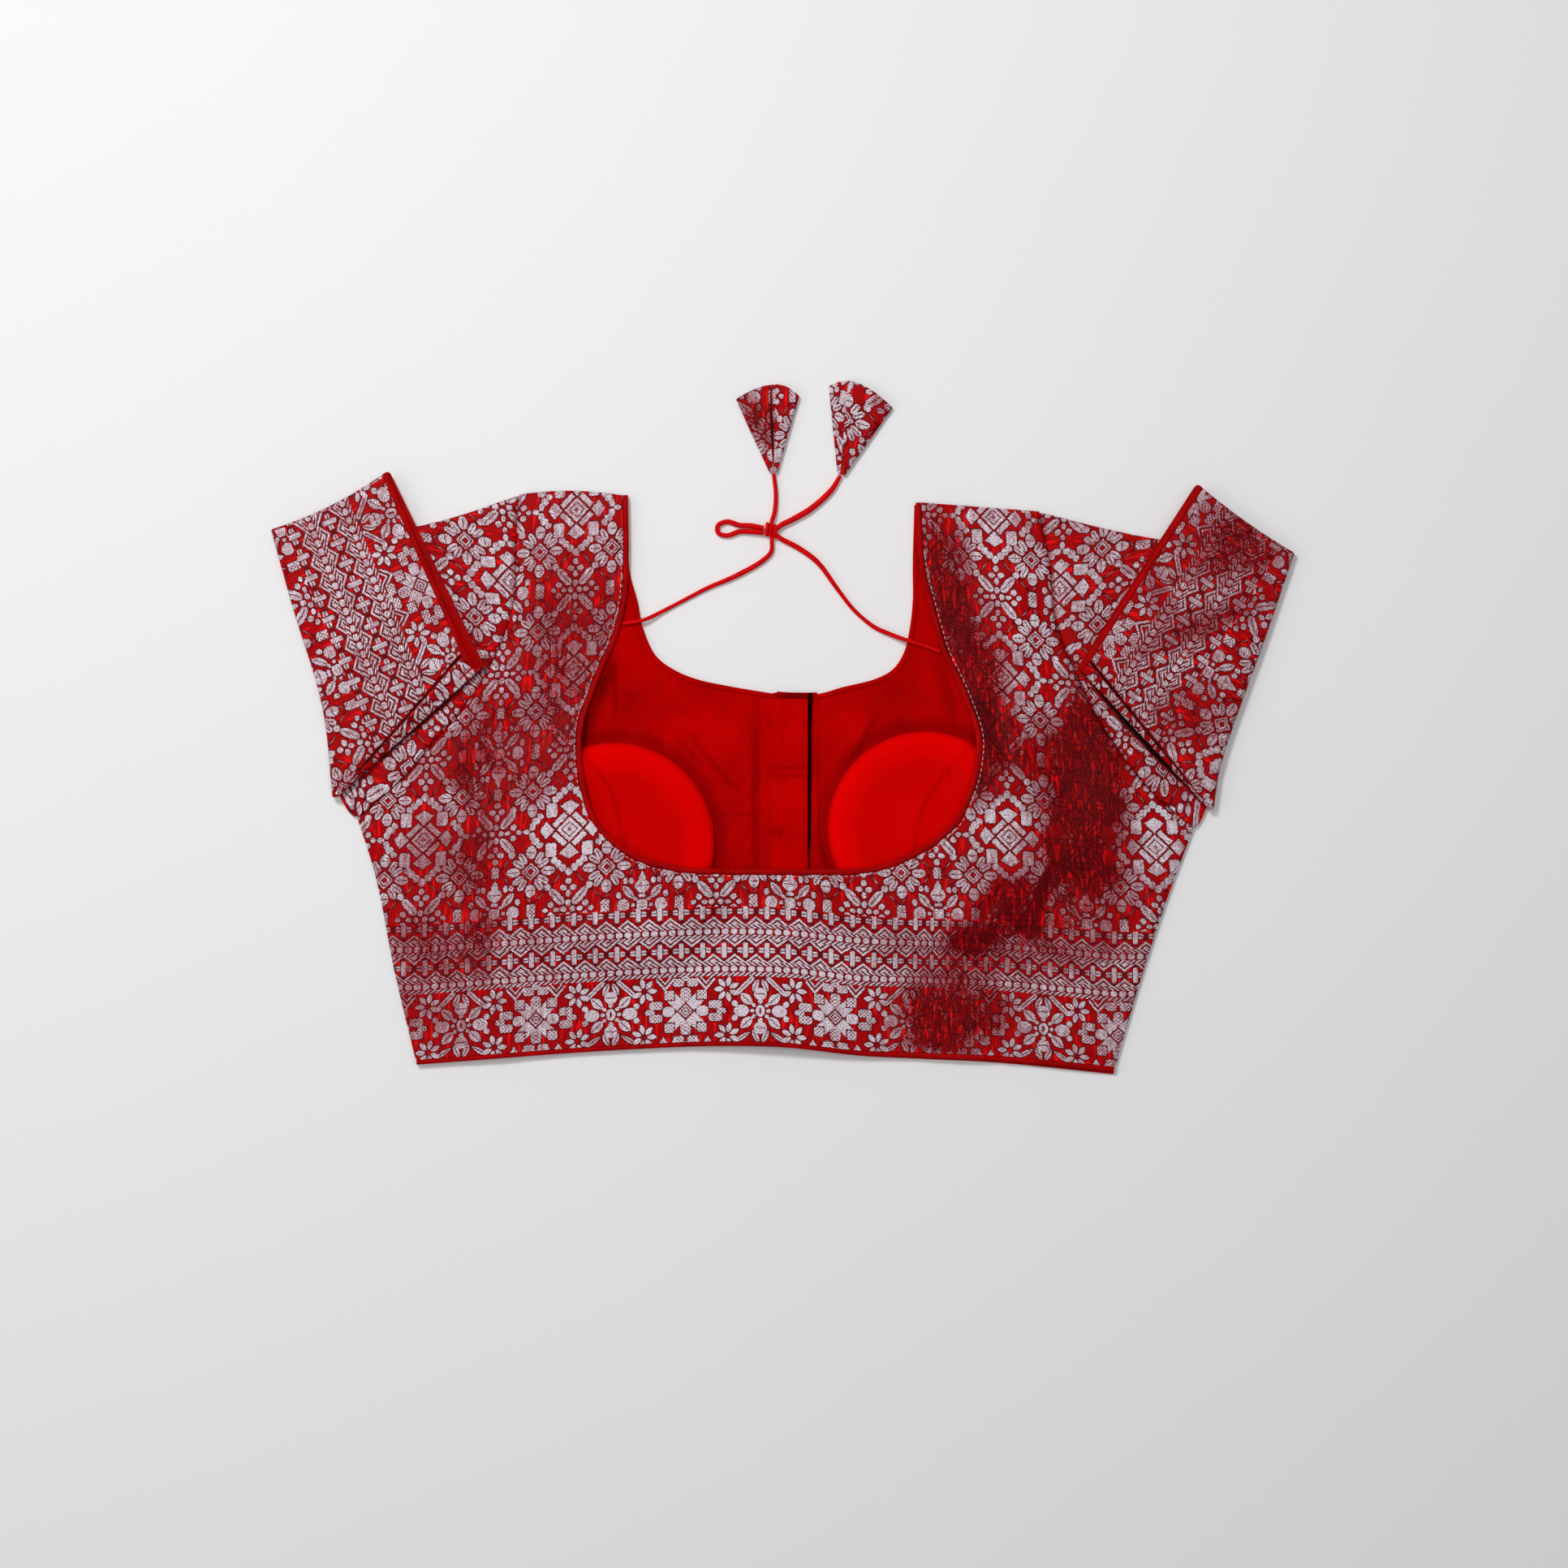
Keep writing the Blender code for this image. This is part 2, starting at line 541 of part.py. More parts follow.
def build_sleeve(spec, armhole, brocade, satin):
    """A sleeve tube folded back over itself, and the binding round its hem."""
    form = SleeveForm(spec, armhole)
    skins = []
    for depth in (CLOTH, 0.0):
        rings = [form.before_fold(share, depth) for share in np.linspace(0.0, 1.0, TUBE_ROWS)]
        rings += [form.at_fold(turn, depth) for turn in np.linspace(0.0, math.pi, TURN_ROWS + 1)[1:]]
        shares = np.linspace(0.0, 1.0, TUBE_ROWS + 1)[1:]
        rings += [form.after_fold(share, depth, SLEEVE_BINDING + GAP) for share in shares]
        skins.append(np.array(rings))
    wall(f"sleeve_{spec.side}", skins[0], skins[1], brocade, ring=True)
    skins = []
    for depth in (CLOTH + BINDING_BULGE / 2, -BINDING_BULGE):
        rings = [form.after_fold(1.0, depth, SLEEVE_BINDING * back) for back in (1.0, 0.5, 0.0)]
        skins.append(np.array(rings))
    wall(f"sleeve_piping_{spec.side}", skins[0], skins[1], satin, ring=True)
    return form


def build_facing(form, lining):
    """The strip inside the sleeve's hem, on the ply that reaches past the other one."""
    inside = slice(1, SLEEVE_COLUMNS - 1)
    length = np.linalg.norm(form.under_hem - form.axis, axis=1)
    rows = []
    for back in (FACING + SLEEVE_BINDING, SLEEVE_BINDING + FACING / 2, SLEEVE_BINDING + 0.6):
        flat = form.folded_line(back, 1.0)[1][:, :2]
        share = (length - back) / (length - SLEEVE_BINDING - GAP)
        heights = form.folded_heights(share) + CLOTH + GAP
        rows.append(np.column_stack([flat, heights])[inside])
    low = np.array(rows)
    wall(f"sleeve_facing_{form.spec.side}", low, low + np.array([0.0, 0.0, LINING]), lining)


def build_cord(name, route, cloth):
    """A string as a tube along its middle line."""
    points = smooth_line(route, 2)
    curve = bpy.data.curves.new(name, "CURVE")
    curve.dimensions = "3D"
    curve.bevel_depth = CORD / 2 * MM
    curve.bevel_resolution = 2
    curve.use_fill_caps = True
    spline = curve.splines.new("POLY")
    spline.points.add(len(points) - 1)
    for knot, point in zip(spline.points, points):
        knot.co = (*(float(value) * MM for value in point), 1.0)
    curve.materials.append(cloth)
    thing = bpy.data.objects.new(name, curve)
    bpy.context.scene.collection.objects.link(thing)


def build_knot(cloth):
    """The strings' knot, a flattened lump."""
    builder = bmesh.new()
    bmesh.ops.create_uvsphere(builder, u_segments=14, v_segments=8, radius=1.0)
    mesh = bpy.data.meshes.new("knot")
    for vertex in builder.verts:
        vertex.co = [
            (middle + value * size) * MM for value, middle, size in zip(vertex.co, KNOT_MIDDLE, KNOT_SIZE)
        ]
    builder.to_mesh(mesh)
    builder.free()
    make_object("knot", mesh, cloth)


def flap_section(half, seam):
    """The middle line of a wrapped strip across a tassel: inner flap, underside, outer flap."""
    low = CLOTH / 2
    inner_turn = (FLAP_INNER - low) / 2
    outer_turn = (FLAP_OUTER - low) / 2
    reach = inner_turn - half - seam * half
    line = [(seam * half + share * reach, FLAP_INNER) for share in (-0.12, 0.3, 0.65, 1.0)]
    for turn in (math.pi * 0.3, math.pi * 0.5, math.pi * 0.7):
        line.append((-half + inner_turn * (1 - math.sin(turn)), low + inner_turn * (1 + math.cos(turn))))
    width = 2 * half - inner_turn - outer_turn
    line += [(inner_turn - half + share * width, low) for share in (0.0, 0.33, 0.67, 1.0)]
    for turn in (math.pi * 0.25, math.pi * 0.5, math.pi * 0.75):
        line.append((half - outer_turn * (1 - math.sin(turn)), low + outer_turn * (1 - math.cos(turn))))
    end = half - outer_turn
    line += [(end + share * (seam * half - end), FLAP_OUTER) for share in (0.0, 0.5, 1.0)]
    return np.array(line)


def build_tassel(tassel, brocade):
    apex, left, crown, right = (np.array(point) for point in tassel[1:5])
    mouth = (left + right) / 2
    across = (right - left) / np.linalg.norm(right - left)
    half = np.linalg.norm(right - left) / 2
    bow = np.linalg.norm(crown - mouth)
    rows = []
    for share in np.linspace(0.0, 1.0, TASSEL_ROWS):
        width = TASSEL_NECK + (half - TASSEL_NECK) * share
        section = flap_section(width, tassel.seam)
        middle = apex + (mouth - apex) * share
        ahead = (crown - mouth) / bow
        reach = np.clip(1 - (section[:, 0] / width) ** 2, 0.0, 1.0)
        plan = middle + section[:, :1] * across + ahead * (bow * share * reach)[:, None]
        rows.append(np.column_stack([plan, section[:, 1]]))
    grid = np.array(rows)
    down = np.gradient(grid, axis=0)
    run = np.gradient(grid, axis=1)
    normal = np.cross(down, run)
    normal /= np.linalg.norm(normal, axis=2)[..., None]
    wall(tassel.name, grid - normal * CLOTH / 2, grid + normal * CLOTH / 2, brocade)


def main():
    clear_scene()
    brocade = finish_of("brocade", (0.42, 0.05, 0.07), 0.42, 0.25)
    satin = finish_of("satin_binding", (0.45, 0.003, 0.004), 0.45)
    lining = finish_of("lining", (0.40, 0.002, 0.002), 0.75)
    padding = finish_of("cup_cloth", (0.62, 0.002, 0.002), 0.7)
    neck, edge, columns = back_outline()
    build_front("left", FRONT_NECK_LEFT, edge, columns, brocade, lining, satin)
    build_front("right", FRONT_NECK_RIGHT, edge, columns, brocade, lining, satin)
    build_band("placket_under", UNDER_BAND, GAP, UNDER_BAND_TOP, lining)
    build_band("placket_over", OVER_BAND, GAP, OVER_BAND_TOP, lining)
    for cup in CUPS:
        build_cup(cup, padding)
    build_back(neck, edge, columns, brocade, satin)
    armhole_left = edge[: columns["left armpit"] + 1]
    armhole_right = edge[columns["right armpit"] :][::-1]
    form = build_sleeve(LEFT_SLEEVE, armhole_left, brocade, satin)
    build_facing(form, lining)
    build_sleeve(RIGHT_SLEEVE, armhole_right, brocade, satin)
    routes = {
        "string_left": STRING_LEFT, "string_right": STRING_RIGHT, "loop": LOOP,
        "tail_left": TAIL_LEFT, "tail_right": TAIL_RIGHT,
    }
    for name, route in routes.items():
        build_cord(name, route, satin)
    build_knot(satin)
    for tassel in TASSELS:
        build_tassel(tassel, brocade)


main()
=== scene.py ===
# %% [markdown]
# # A brocade blouse, laid flat
#
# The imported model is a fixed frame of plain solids. This lesson dresses it: each cloth piece gets a thin
# shell of its own on its solid's form, and each finish is built from nodes. Lengths in the tables are in
# millimetres, left and right are those of someone who looks down on the blouse.

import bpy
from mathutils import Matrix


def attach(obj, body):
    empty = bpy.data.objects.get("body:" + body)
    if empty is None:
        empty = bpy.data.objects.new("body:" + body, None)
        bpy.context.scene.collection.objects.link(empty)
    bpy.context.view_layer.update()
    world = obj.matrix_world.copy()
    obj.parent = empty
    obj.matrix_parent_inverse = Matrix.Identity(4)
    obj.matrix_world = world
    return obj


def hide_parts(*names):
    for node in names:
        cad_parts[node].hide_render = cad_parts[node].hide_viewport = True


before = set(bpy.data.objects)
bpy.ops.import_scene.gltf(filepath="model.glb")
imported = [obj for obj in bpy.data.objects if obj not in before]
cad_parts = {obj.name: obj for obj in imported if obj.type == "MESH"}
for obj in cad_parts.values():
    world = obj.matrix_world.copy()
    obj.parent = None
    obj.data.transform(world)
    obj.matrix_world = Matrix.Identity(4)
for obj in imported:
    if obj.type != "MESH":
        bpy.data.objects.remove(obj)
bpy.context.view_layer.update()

# %% What the lesson uses
import math
from collections import namedtuple

import bpy
import numpy as np
from mathutils import Vector, geometry, noise

MM = 0.001

# %% [markdown]
# ## Camera
#
# The photograph looks straight down at the blouse. Its square frame is 966 mm wide on the surface, so a
# long 85 mm lens stands far enough off to show hardly any perspective. Pieces are placed by what the
# camera sees, so it comes first.

# %% Camera straight above
VIEW_MIDDLE = (1.0, -6.75)
VIEW_WIDTH = 966.0
LENS = 85.0
SENSOR = 36.0

camera_data = bpy.data.cameras.new("camera")
camera_data.lens = LENS
camera_data.sensor_width = SENSOR
camera_data.clip_start = 0.05
camera = bpy.data.objects.new("camera", camera_data)
camera.location = (VIEW_MIDDLE[0] * MM, VIEW_MIDDLE[1] * MM, VIEW_WIDTH * MM * LENS / SENSOR)
bpy.context.scene.collection.objects.link(camera)
bpy.context.scene.camera = camera
print("camera", round(camera.location.z, 3), "m above the floor")

# %% [markdown]
# ## Finishes from nodes
#
# Every finish is a small graph of nodes that works out colour, gloss and thread relief from a place on the
# cloth. One function adds a node with its settings and links, so a graph reads as a list of steps.

# %% Colours and nodes
def srgb(code):
    """The linear colour of an sRGB hex code."""
    parts = [int(code[i : i + 2], 16) / 255 for i in (1, 3, 5)]
    linear = [p / 12.92 if p <= 0.04045 else ((p + 0.055) / 1.055) ** 2.4 for p in parts]
    return (*linear, 1.0)


def node(kind, *inputs, out=0, named=None, **settings):
    """Adds one node to the open graph: a socket is linked, a value is set, None is left as it is.

    The kind may end in the node's operation or data type, as in "Math ADD", which opens and shuts sockets.
    """
    kind, _, mode = kind.partition(" ")
    made = graph.nodes.new("ShaderNode" + kind)
    if mode:
        settings["data_type" if kind == "Mix" else "operation"] = mode
    for name, value in settings.items():
        setattr(made, name, value)
    filled = list(zip([socket for socket in made.inputs if socket.enabled], inputs))
    filled += [(made.inputs[name], value) for name, value in (named or {}).items()]
    for socket, value in filled:
        if isinstance(value, bpy.types.NodeSocket):
            graph.links.new(value, socket)
        elif value is not None:
            socket.default_value = value
    opened = [socket for socket in made.outputs if socket.enabled]
    return opened[out] if opened else None


def open_finish(name):
    """A new empty finish, whose graph the next nodes go into."""
    global graph
    finish = bpy.data.materials.new(name)
    finish.use_nodes = True
    graph = finish.node_tree
    graph.nodes.clear()
    return finish


def close_finish(shader):
    """Ends the open graph in its surface."""
    node("OutputMaterial", shader)
    print(len(graph.nodes), "nodes")


# %% [markdown]
# ## Floor and light
#
# The blouse lies on a plain pale surface under a large soft lamp above its shoulders, so the surface is a
# little lighter there and shadows fall towards the hem. A second wide lamp from the left keeps the folds
# on the right darker, and a pale world fills the rest.

# %% The surface that the blouse lies on
floor_paint = open_finish("matt_paper")
mottle = node("TexNoise", node("TexCoord", out=3), 3.0, 2.0)
paper = node("Mix RGBA", mottle, srgb("#f8f8f8"), srgb("#f6f6f6"))
close_finish(node("BsdfPrincipled", paper, named={"Roughness": 0.9, "Specular IOR Level": 0.2}))

FLOOR_REACH, FLOOR_DROP = 4.0, 0.0002
floor_mesh = bpy.data.meshes.new("floor")
ways = [(-1, -1), (1, -1), (1, 1), (-1, 1)]
floor_mesh.from_pydata([(x * FLOOR_REACH, y * FLOOR_REACH, -FLOOR_DROP) for x, y in ways], [], [(0, 1, 2, 3)])
floor_mesh.materials.append(floor_paint)
floor = bpy.data.objects.new("floor", floor_mesh)
bpy.context.scene.collection.objects.link(floor)

# %% Lamps
Lamp = namedtuple("Lamp", "name x y z width power")
LAMPS = [
    Lamp("key", -0.7, 1.05, 1.7, 0.45, 20.0),
    Lamp("left fill", -1.9, -0.2, 1.3, 1.2, 7.0),
    Lamp("overhead", 0.6, 0.3, 3.0, 1.6, 12.0),
]
for lamp in LAMPS:
    light = bpy.data.lights.new(lamp.name, "AREA")
    light.shape = "SQUARE"
    light.size = lamp.width
    light.energy = lamp.power
    holder = bpy.data.objects.new(lamp.name, light)
    holder.location = (lamp.x, lamp.y, lamp.z)
    holder.rotation_euler = Vector((-lamp.x, -lamp.y, -lamp.z)).to_track_quat("-Z", "Y").to_euler()
    bpy.context.scene.collection.objects.link(holder)

world = bpy.data.worlds.new("pale room")
world.use_nodes = True
world.node_tree.nodes["Background"].inputs["Color"].default_value = srgb("#f4f4f6")
world.node_tree.nodes["Background"].inputs["Strength"].default_value = 0.32
bpy.context.scene.world = world
bpy.context.scene.view_settings.view_transform = "Standard"
print(len(LAMPS), "lamps")

# %% [markdown]
# ## Lines and sheets
#
# Each cloth piece is a grid of points between two smooth lines, or a cut outline filled with triangles.
# These helpers draw the smooth lines and turn grids and outlines into thin closed shells.

# %% Smooth lines
def smooth_line(rows, steps):
    """Points of a smooth curve through the rows, with this many steps from one row to the next."""
    knots = np.array(rows, float)
    spans = np.sqrt(np.linalg.norm(np.diff(knots, axis=0), axis=1))
    slopes = np.diff(knots, axis=0) / spans[:, None]
    before, after = spans[:-1, None], spans[1:, None]
    middle = (slopes[:-1] * after + slopes[1:] * before) / (before + after)
    tangents = np.vstack([slopes[:1], middle, slopes[-1:]])
    line = []
    for i, span in enumerate(spans):
        for t in np.arange(steps) / steps:
            line.append(
                (2 * t**3 - 3 * t**2 + 1) * knots[i]
                + (t**3 - 2 * t**2 + t) * span * tangents[i]
                + (3 * t**2 - 2 * t**3) * knots[i + 1]
                + (t**3 - t**2) * span * tangents[i + 1]
            )
    return np.array(line + [knots[-1]])


def along(line, shares):
    """Points at these shares of a line's length."""
    steps = np.linalg.norm(np.diff(line, axis=0), axis=1)
    run = np.concatenate([[0.0], np.cumsum(steps)])
    return np.stack([np.interp(np.asarray(shares) * run[-1], run, column) for column in line.T], axis=1)


def line_length(line):
    """Length of a line of points, in the plane or in space."""
    return float(np.linalg.norm(np.diff(line, axis=0), axis=1).sum())


def sideways(line, towards):
    """Unit vectors square to a flat line, all on the side where most of the given points are."""
    ahead = np.gradient(line, axis=0)
    square = np.stack([-ahead[:, 1], ahead[:, 0]], axis=1)
    square /= np.linalg.norm(square, axis=1)[:, None]
    return square * np.sign(np.sum(square * (towards - line)))


def smoothstep(value):
    """An even rise from 0 to 1 with soft ends."""
    value = np.clip(value, 0.0, 1.0)
    return value * value * (3 - 2 * value)


def ripple(x, y, size, seed=0.0):
    """Soft noise from -1 to 1 at each place, with bumps of about this size."""
    flat = [noise.noise(Vector((a / size, b / size, seed))) for a, b in zip(np.ravel(x), np.ravel(y))]
    return np.array(flat).reshape(np.shape(x))


# %% Shells from grids and outlines
CLOTH_UNIT = 100.0
SHARP_ANGLE = math.radians(50)


def make_piece(name, points, faces, finish, maps=None, corners=None, tone=None):
    """A mesh piece from points in millimetres. maps hold cloth places, picked for each face corner."""
    mesh = bpy.data.meshes.new(name)
    mesh.from_pydata((np.asarray(points) * MM).tolist(), [], faces)
    for layer_name, places in (maps or {}).items():
        layer = mesh.uv_layers.new(name=layer_name)
        picked = np.asarray(places)[corners] / CLOTH_UNIT
        layer.data.foreach_set("uv", picked.astype(np.float32).ravel())
    # The tone is painted light and shade: how lit each point looks, which the finishes turn into colour.
    if tone is not None:
        values = mesh.attributes.new("tone", "FLOAT", "POINT")
        values.data.foreach_set("value", np.asarray(tone, np.float32))
    mesh.materials.append(finish)
    mesh.shade_smooth()
    mesh.set_sharp_from_angle(angle=SHARP_ANGLE)
    piece = bpy.data.objects.new(name, mesh)
    bpy.context.scene.collection.objects.link(piece)
    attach(piece, "root")
    return piece


def grid_shell(name, low, high, finish, ring=False, maps=None, tone=None, turned=False):
    """A thin closed shell between two grids of points. A ring's last column joins its first."""
    rows, columns = low.shape[:2]
    wide = columns + 1 if ring else columns
    top = rows * columns
    faces, corners = [], []

    def add(cells):
        """One face through cells of (side, row, column)."""
        cells = cells[::-1] if turned else cells
        faces.append([side * top + row * columns + column % columns for side, row, column in cells])
        corners.extend(row * wide + column for side, row, column in cells)

    for row in range(rows - 1):
        for column in range(wide - 1):
            quad = [(row, column), (row, column + 1), (row + 1, column + 1), (row + 1, column)]
            add([(1, *cell) for cell in quad])
            add([(0, *cell) for cell in quad[::-1]])
    for column in range(wide - 1):
        add([(0, 0, column), (0, 0, column + 1), (1, 0, column + 1), (1, 0, column)])
        last = rows - 1
        add([(0, last, column + 1), (0, last, column), (1, last, column), (1, last, column + 1)])
    if not ring:
        for row in range(rows - 1):
            add([(0, row + 1, 0), (0, row, 0), (1, row, 0), (1, row + 1, 0)])
            last = columns - 1
            add([(0, row, last), (0, row + 1, last), (1, row + 1, last), (1, row, last)])
    points = np.vstack([low.reshape(-1, 3), high.reshape(-1, 3)])
    maps = {key: np.asarray(value).reshape(-1, 2) for key, value in (maps or {}).items()}
    both = None if tone is None else np.tile(np.ravel(tone), 2)
    return make_piece(name, points, faces, finish, maps, corners, both)


def cut_shell(name, outline, spacing, low, thick, finish, tone, places=None):
    """A sheet with this outline, filled with triangles. low, tone (painted light and shade) and places are
    functions of places x, y.
    """
    outline = [Vector((float(x), float(y))) for x, y in outline]
    xs = np.arange(min(p.x for p in outline), max(p.x for p in outline), spacing)
    ys = np.arange(min(p.y for p in outline), max(p.y for p in outline), spacing)
    inner = [Vector((float(x) + (i % 2) * spacing / 2, float(y))) for i, y in enumerate(ys) for x in xs]
    rim = np.array(outline)
    kept = [p for p in inner if np.min(np.hypot(rim[:, 0] - p.x, rim[:, 1] - p.y)) > spacing * 0.55]
    count = len(outline)
    edges = [(i, (i + 1) % count) for i in range(count)]
    flat, _, triangles, _, _, _ = geometry.delaunay_2d_cdt(outline + kept, edges, [], 1, 0.01)
    flat = np.array([(p.x, p.y) for p in flat])
    heights = low(flat[:, 0], flat[:, 1])
    under = np.column_stack([flat, heights])
    over = under + np.array([0.0, 0.0, thick])
    faces, corners, seen = [], [], {}
    size = len(flat)
    for a, b, c in triangles:
        faces += [[size + a, size + b, size + c], [c, b, a]]
        corners += [a, b, c, c, b, a]
        for near, far in ((a, b), (b, c), (c, a)):
            seen[(near, far)] = True
    for near, far in list(seen):
        if (far, near) not in seen:
            faces.append([near, far, size + far, size + near])
            corners += [near, far, far, near]
    maps = places(flat[:, 0], flat[:, 1]) if places else None
    both = np.tile(tone(flat[:, 0], flat[:, 1]), 2)
    return make_piece(name, np.vstack([under, over]), faces, finish, maps, corners, both)


def ring_faces(first, rings, sides):
    """Quads between neighbouring rings of points, whose numbers start from first."""
    faces = []
    for start in range(first, first + (rings - 1) * sides, sides):
        for i in range(sides):
            j = (i + 1) % sides
            faces.append([start + i, start + sides + i, start + sides + j, start + j])
    return faces


# %% [markdown]
# ## Brocade
#
# The cloth is a red silk satin with a second weft of silver thread, zari, that floats on the face wherever
# the pattern is silver. A jacquard loom repeats the pattern, and each motif mirrors left to right and top
# to bottom. So the pattern is charted as a short table of leaves, petals and tiles in one quarter of the
# repeat, and folding the place on the cloth fills in the rest. Each shape gives a distance in
# millimetres from its edge, negative inside, so edges, outlines and threads keep their real size.

# %% Shapes of silver thread, on places whose third number is 1 so that one product turns and moves them
# ends and sides are powers that round or point the outline along and across a shape. A vein is cut VEIN mm
# to each side of a leaf's middle, along VEIN_SHARE of it.
Shape = namedtuple("Shape", "x y long wide turn ends sides")
ROUND, LEAF, TILE, POINTED = (2.0, 2.0), (1.8, 1.3), (7.0, 7.0), (1.0, 1.0)
BLUNT = (3.2, 2.0)
VEIN, VEIN_SHARE = 0.12, 0.72
HOLE_PITCH = 2.3


def silver_shape(place, shape):
    """Distance from the edge of one shape, and its own place from 0 at its middle to 1 at its edge."""
    turn = math.radians(shape.turn)
    cosine = math.cos(turn)
    sine = math.sin(turn)
    ahead = shape.x * cosine + shape.y * sine
    aside = shape.y * cosine - shape.x * sine
    along_it = (cosine / shape.long, sine / shape.long, -ahead / shape.long)
    across_it = (-sine / shape.wide, cosine / shape.wide, -aside / shape.wide)
    own_x = node("VectorMath DOT_PRODUCT", place, along_it)
    own_y = node("VectorMath DOT_PRODUCT", place, across_it)
    away = node("VectorMath ABSOLUTE", node("CombineXYZ", own_x, own_y))
    powers = node("VectorMath POWER", away, (shape.ends, shape.sides, 1.0))
    total = node("VectorMath DOT_PRODUCT", powers, (1.0, 1.0, 0.0))
    share = node("Math POWER", total, 2.0 / (shape.ends + shape.sides))
    least = min(shape.wide, shape.long)
    return node("Math MULTIPLY_ADD", share, least, -least), away


def nearest(distances):
    """The least of several distances, which joins their shapes."""
    total = distances[0]
    for distance in distances[1:]:
        total = node("Math MINIMUM", total, distance)
    return total


def furthest(distances):
    """The greatest of several distances, which keeps what lies in all their shapes."""
    total = distances[0]
    for distance in distances[1:]:
        total = node("Math MAXIMUM", total, distance)
    return total


def small_holes(x, y):
    """Distance above 0 in a grid of small holes HOLE_PITCH mm apart, where red shows through the silver."""
    rows = node("Math SINE", node("Math MULTIPLY", y, math.tau / HOLE_PITCH))
    columns = node("Math SINE", node("Math MULTIPLY", x, math.tau / HOLE_PITCH))
    crossed = node("Math MULTIPLY", rows, columns)
    return node("Math MULTIPLY_ADD", crossed, 1.1, -0.62)


def chart(place, shapes, veined=(), dotted=(), holes=None):
    """The joined distance of a table of shapes, where some have a vein lengthways and some small holes."""
    distances = []
    for name, shape in shapes.items():
        distance, own = silver_shape(place, shape)
        if name in veined:
            aside = node("SeparateXYZ", own, out=1)
            beside = node("Math MULTIPLY_ADD", aside, -shape.wide, VEIN)
            ahead = node("SeparateXYZ", own)
            short = node("Math MULTIPLY_ADD", ahead, -shape.long, VEIN_SHARE * shape.long)
            vein = node("Math MINIMUM", beside, short)
            distance = node("Math MAXIMUM", distance, vein)
        if name in dotted:
            distance = node("Math MAXIMUM", distance, holes)
        distances.append(distance)
    return nearest(distances)


def line_side(x, y, along_x, along_y, reach):
    """Distance beyond a straight line, whose square direction is (along_x, along_y), at this reach."""
    size = math.hypot(along_x, along_y)
    part = node("Math MULTIPLY_ADD", x, along_x / size, -reach / size)
    return node("Math MULTIPLY_ADD", y, along_y / size, part)


def diamond_rings(x, y, gaps):
    """Distance inside thin beaded lines round a diamond at these reaches, to cut them out of it."""
    reach = node("Math ADD", x, y)
    lines = []
    for gap in gaps:
        off = node("Math ABSOLUTE", node("Math ADD", reach, -gap))
        lines.append(node("Math SUBTRACT", 0.5, off))
    slope = node("Math SUBTRACT", x, y)
    beads = node("Math SINE", node("Math MULTIPLY", slope, 3.4))
    cut = node("Math ADD", furthest(lines), -0.18)
    return node("Math MULTIPLY_ADD", beads, 0.26, cut)


# %% [markdown]
# ### The field of the cloth
#
# One repeat is 88 mm wide and 98 mm high: a star with a diamond heart, crosses of four long leaves halfway
# along both axes, a lotus at the corners, and eight-petalled flowers between them.

# %% Field of stars, crosses, lotuses and flowers
FIELD_WIDE, FIELD_HIGH = 88.0, 98.0
STAR = {
    "tile": Shape(10.9, 12.2, 3.4, 4.5, 0, *TILE),
    "wreath tip": Shape(0.0, 26.0, 2.3, 2.7, 0, 1.7, 1.7),
    "wreath leaf": Shape(3.5, 23.5, 2.5, 2.1, 62, 2.6, 2.0),
    "wreath second leaf": Shape(6.3, 20.9, 2.4, 2.1, 55, 2.6, 2.0),
    "wreath end": Shape(8.9, 18.6, 2.5, 2.0, 40, *ROUND),
    "side wreath tip": Shape(25.8, 0.0, 2.4, 1.7, 0, *ROUND),
    "side wreath leaf": Shape(22.2, 3.0, 2.0, 2.6, 10, 2.6, 2.6),
    "side wreath second leaf": Shape(20.2, 6.2, 2.7, 2.2, 25, 2.6, 2.0),
    "side wreath end": Shape(17.6, 8.9, 2.3, 1.8, 40, *ROUND),
}
CROSS = {
    "inner dot": Shape(2.7, 0.0, 1.8, 1.9, 0, *ROUND),
    "inner drop": Shape(0.0, 4.1, 1.8, 2.2, 0, *ROUND),
    "long leaf": Shape(6.8, 7.9, 6.5, 2.7, 50, *BLUNT),
    "near dot": Shape(6.9, 0.0, 2.0, 1.5, 0, *ROUND),
    "side dot": Shape(10.3, 3.3, 2.1, 1.9, 40, *ROUND),
    "far dot": Shape(13.5, 0.0, 1.8, 1.6, 0, *ROUND),
    "high drop": Shape(0.0, 9.7, 1.6, 2.3, 0, *ROUND),
    "high dot": Shape(2.9, 13.3, 2.2, 1.9, 20, *ROUND),
    "top dot": Shape(0.0, 17.3, 1.9, 2.1, 0, *ROUND),
}
LOTUS = {
    "heart": Shape(0.0, 0.0, 3.3, 3.2, 0, 4.0, 4.0),
    "side tile": Shape(5.4, 0.0, 1.2, 1.2, 0, *TILE),
    "dot": Shape(3.9, 3.6, 1.5, 1.2, 30, *ROUND),
    "foot": Shape(0.0, 5.6, 2.4, 1.2, 0, *TILE),
    "side fan": Shape(11.2, 0.0, 3.8, 4.2, 0, 2.4, 1.6),
    "bud": Shape(0.0, 11.5, 4.6, 4.5, 0, 1.8, 1.6),
    "bud tip": Shape(0.0, 16.2, 4.6, 2.3, 90, 1.2, 1.2),
    "leaf": Shape(8.2, 8.0, 5.5, 2.5, 51, *LEAF),
    "high dot": Shape(6.6, 14.9, 1.5, 2.3, 0, *ROUND),
    "low dot": Shape(14.0, 6.4, 1.7, 2.3, 0, *ROUND),
}
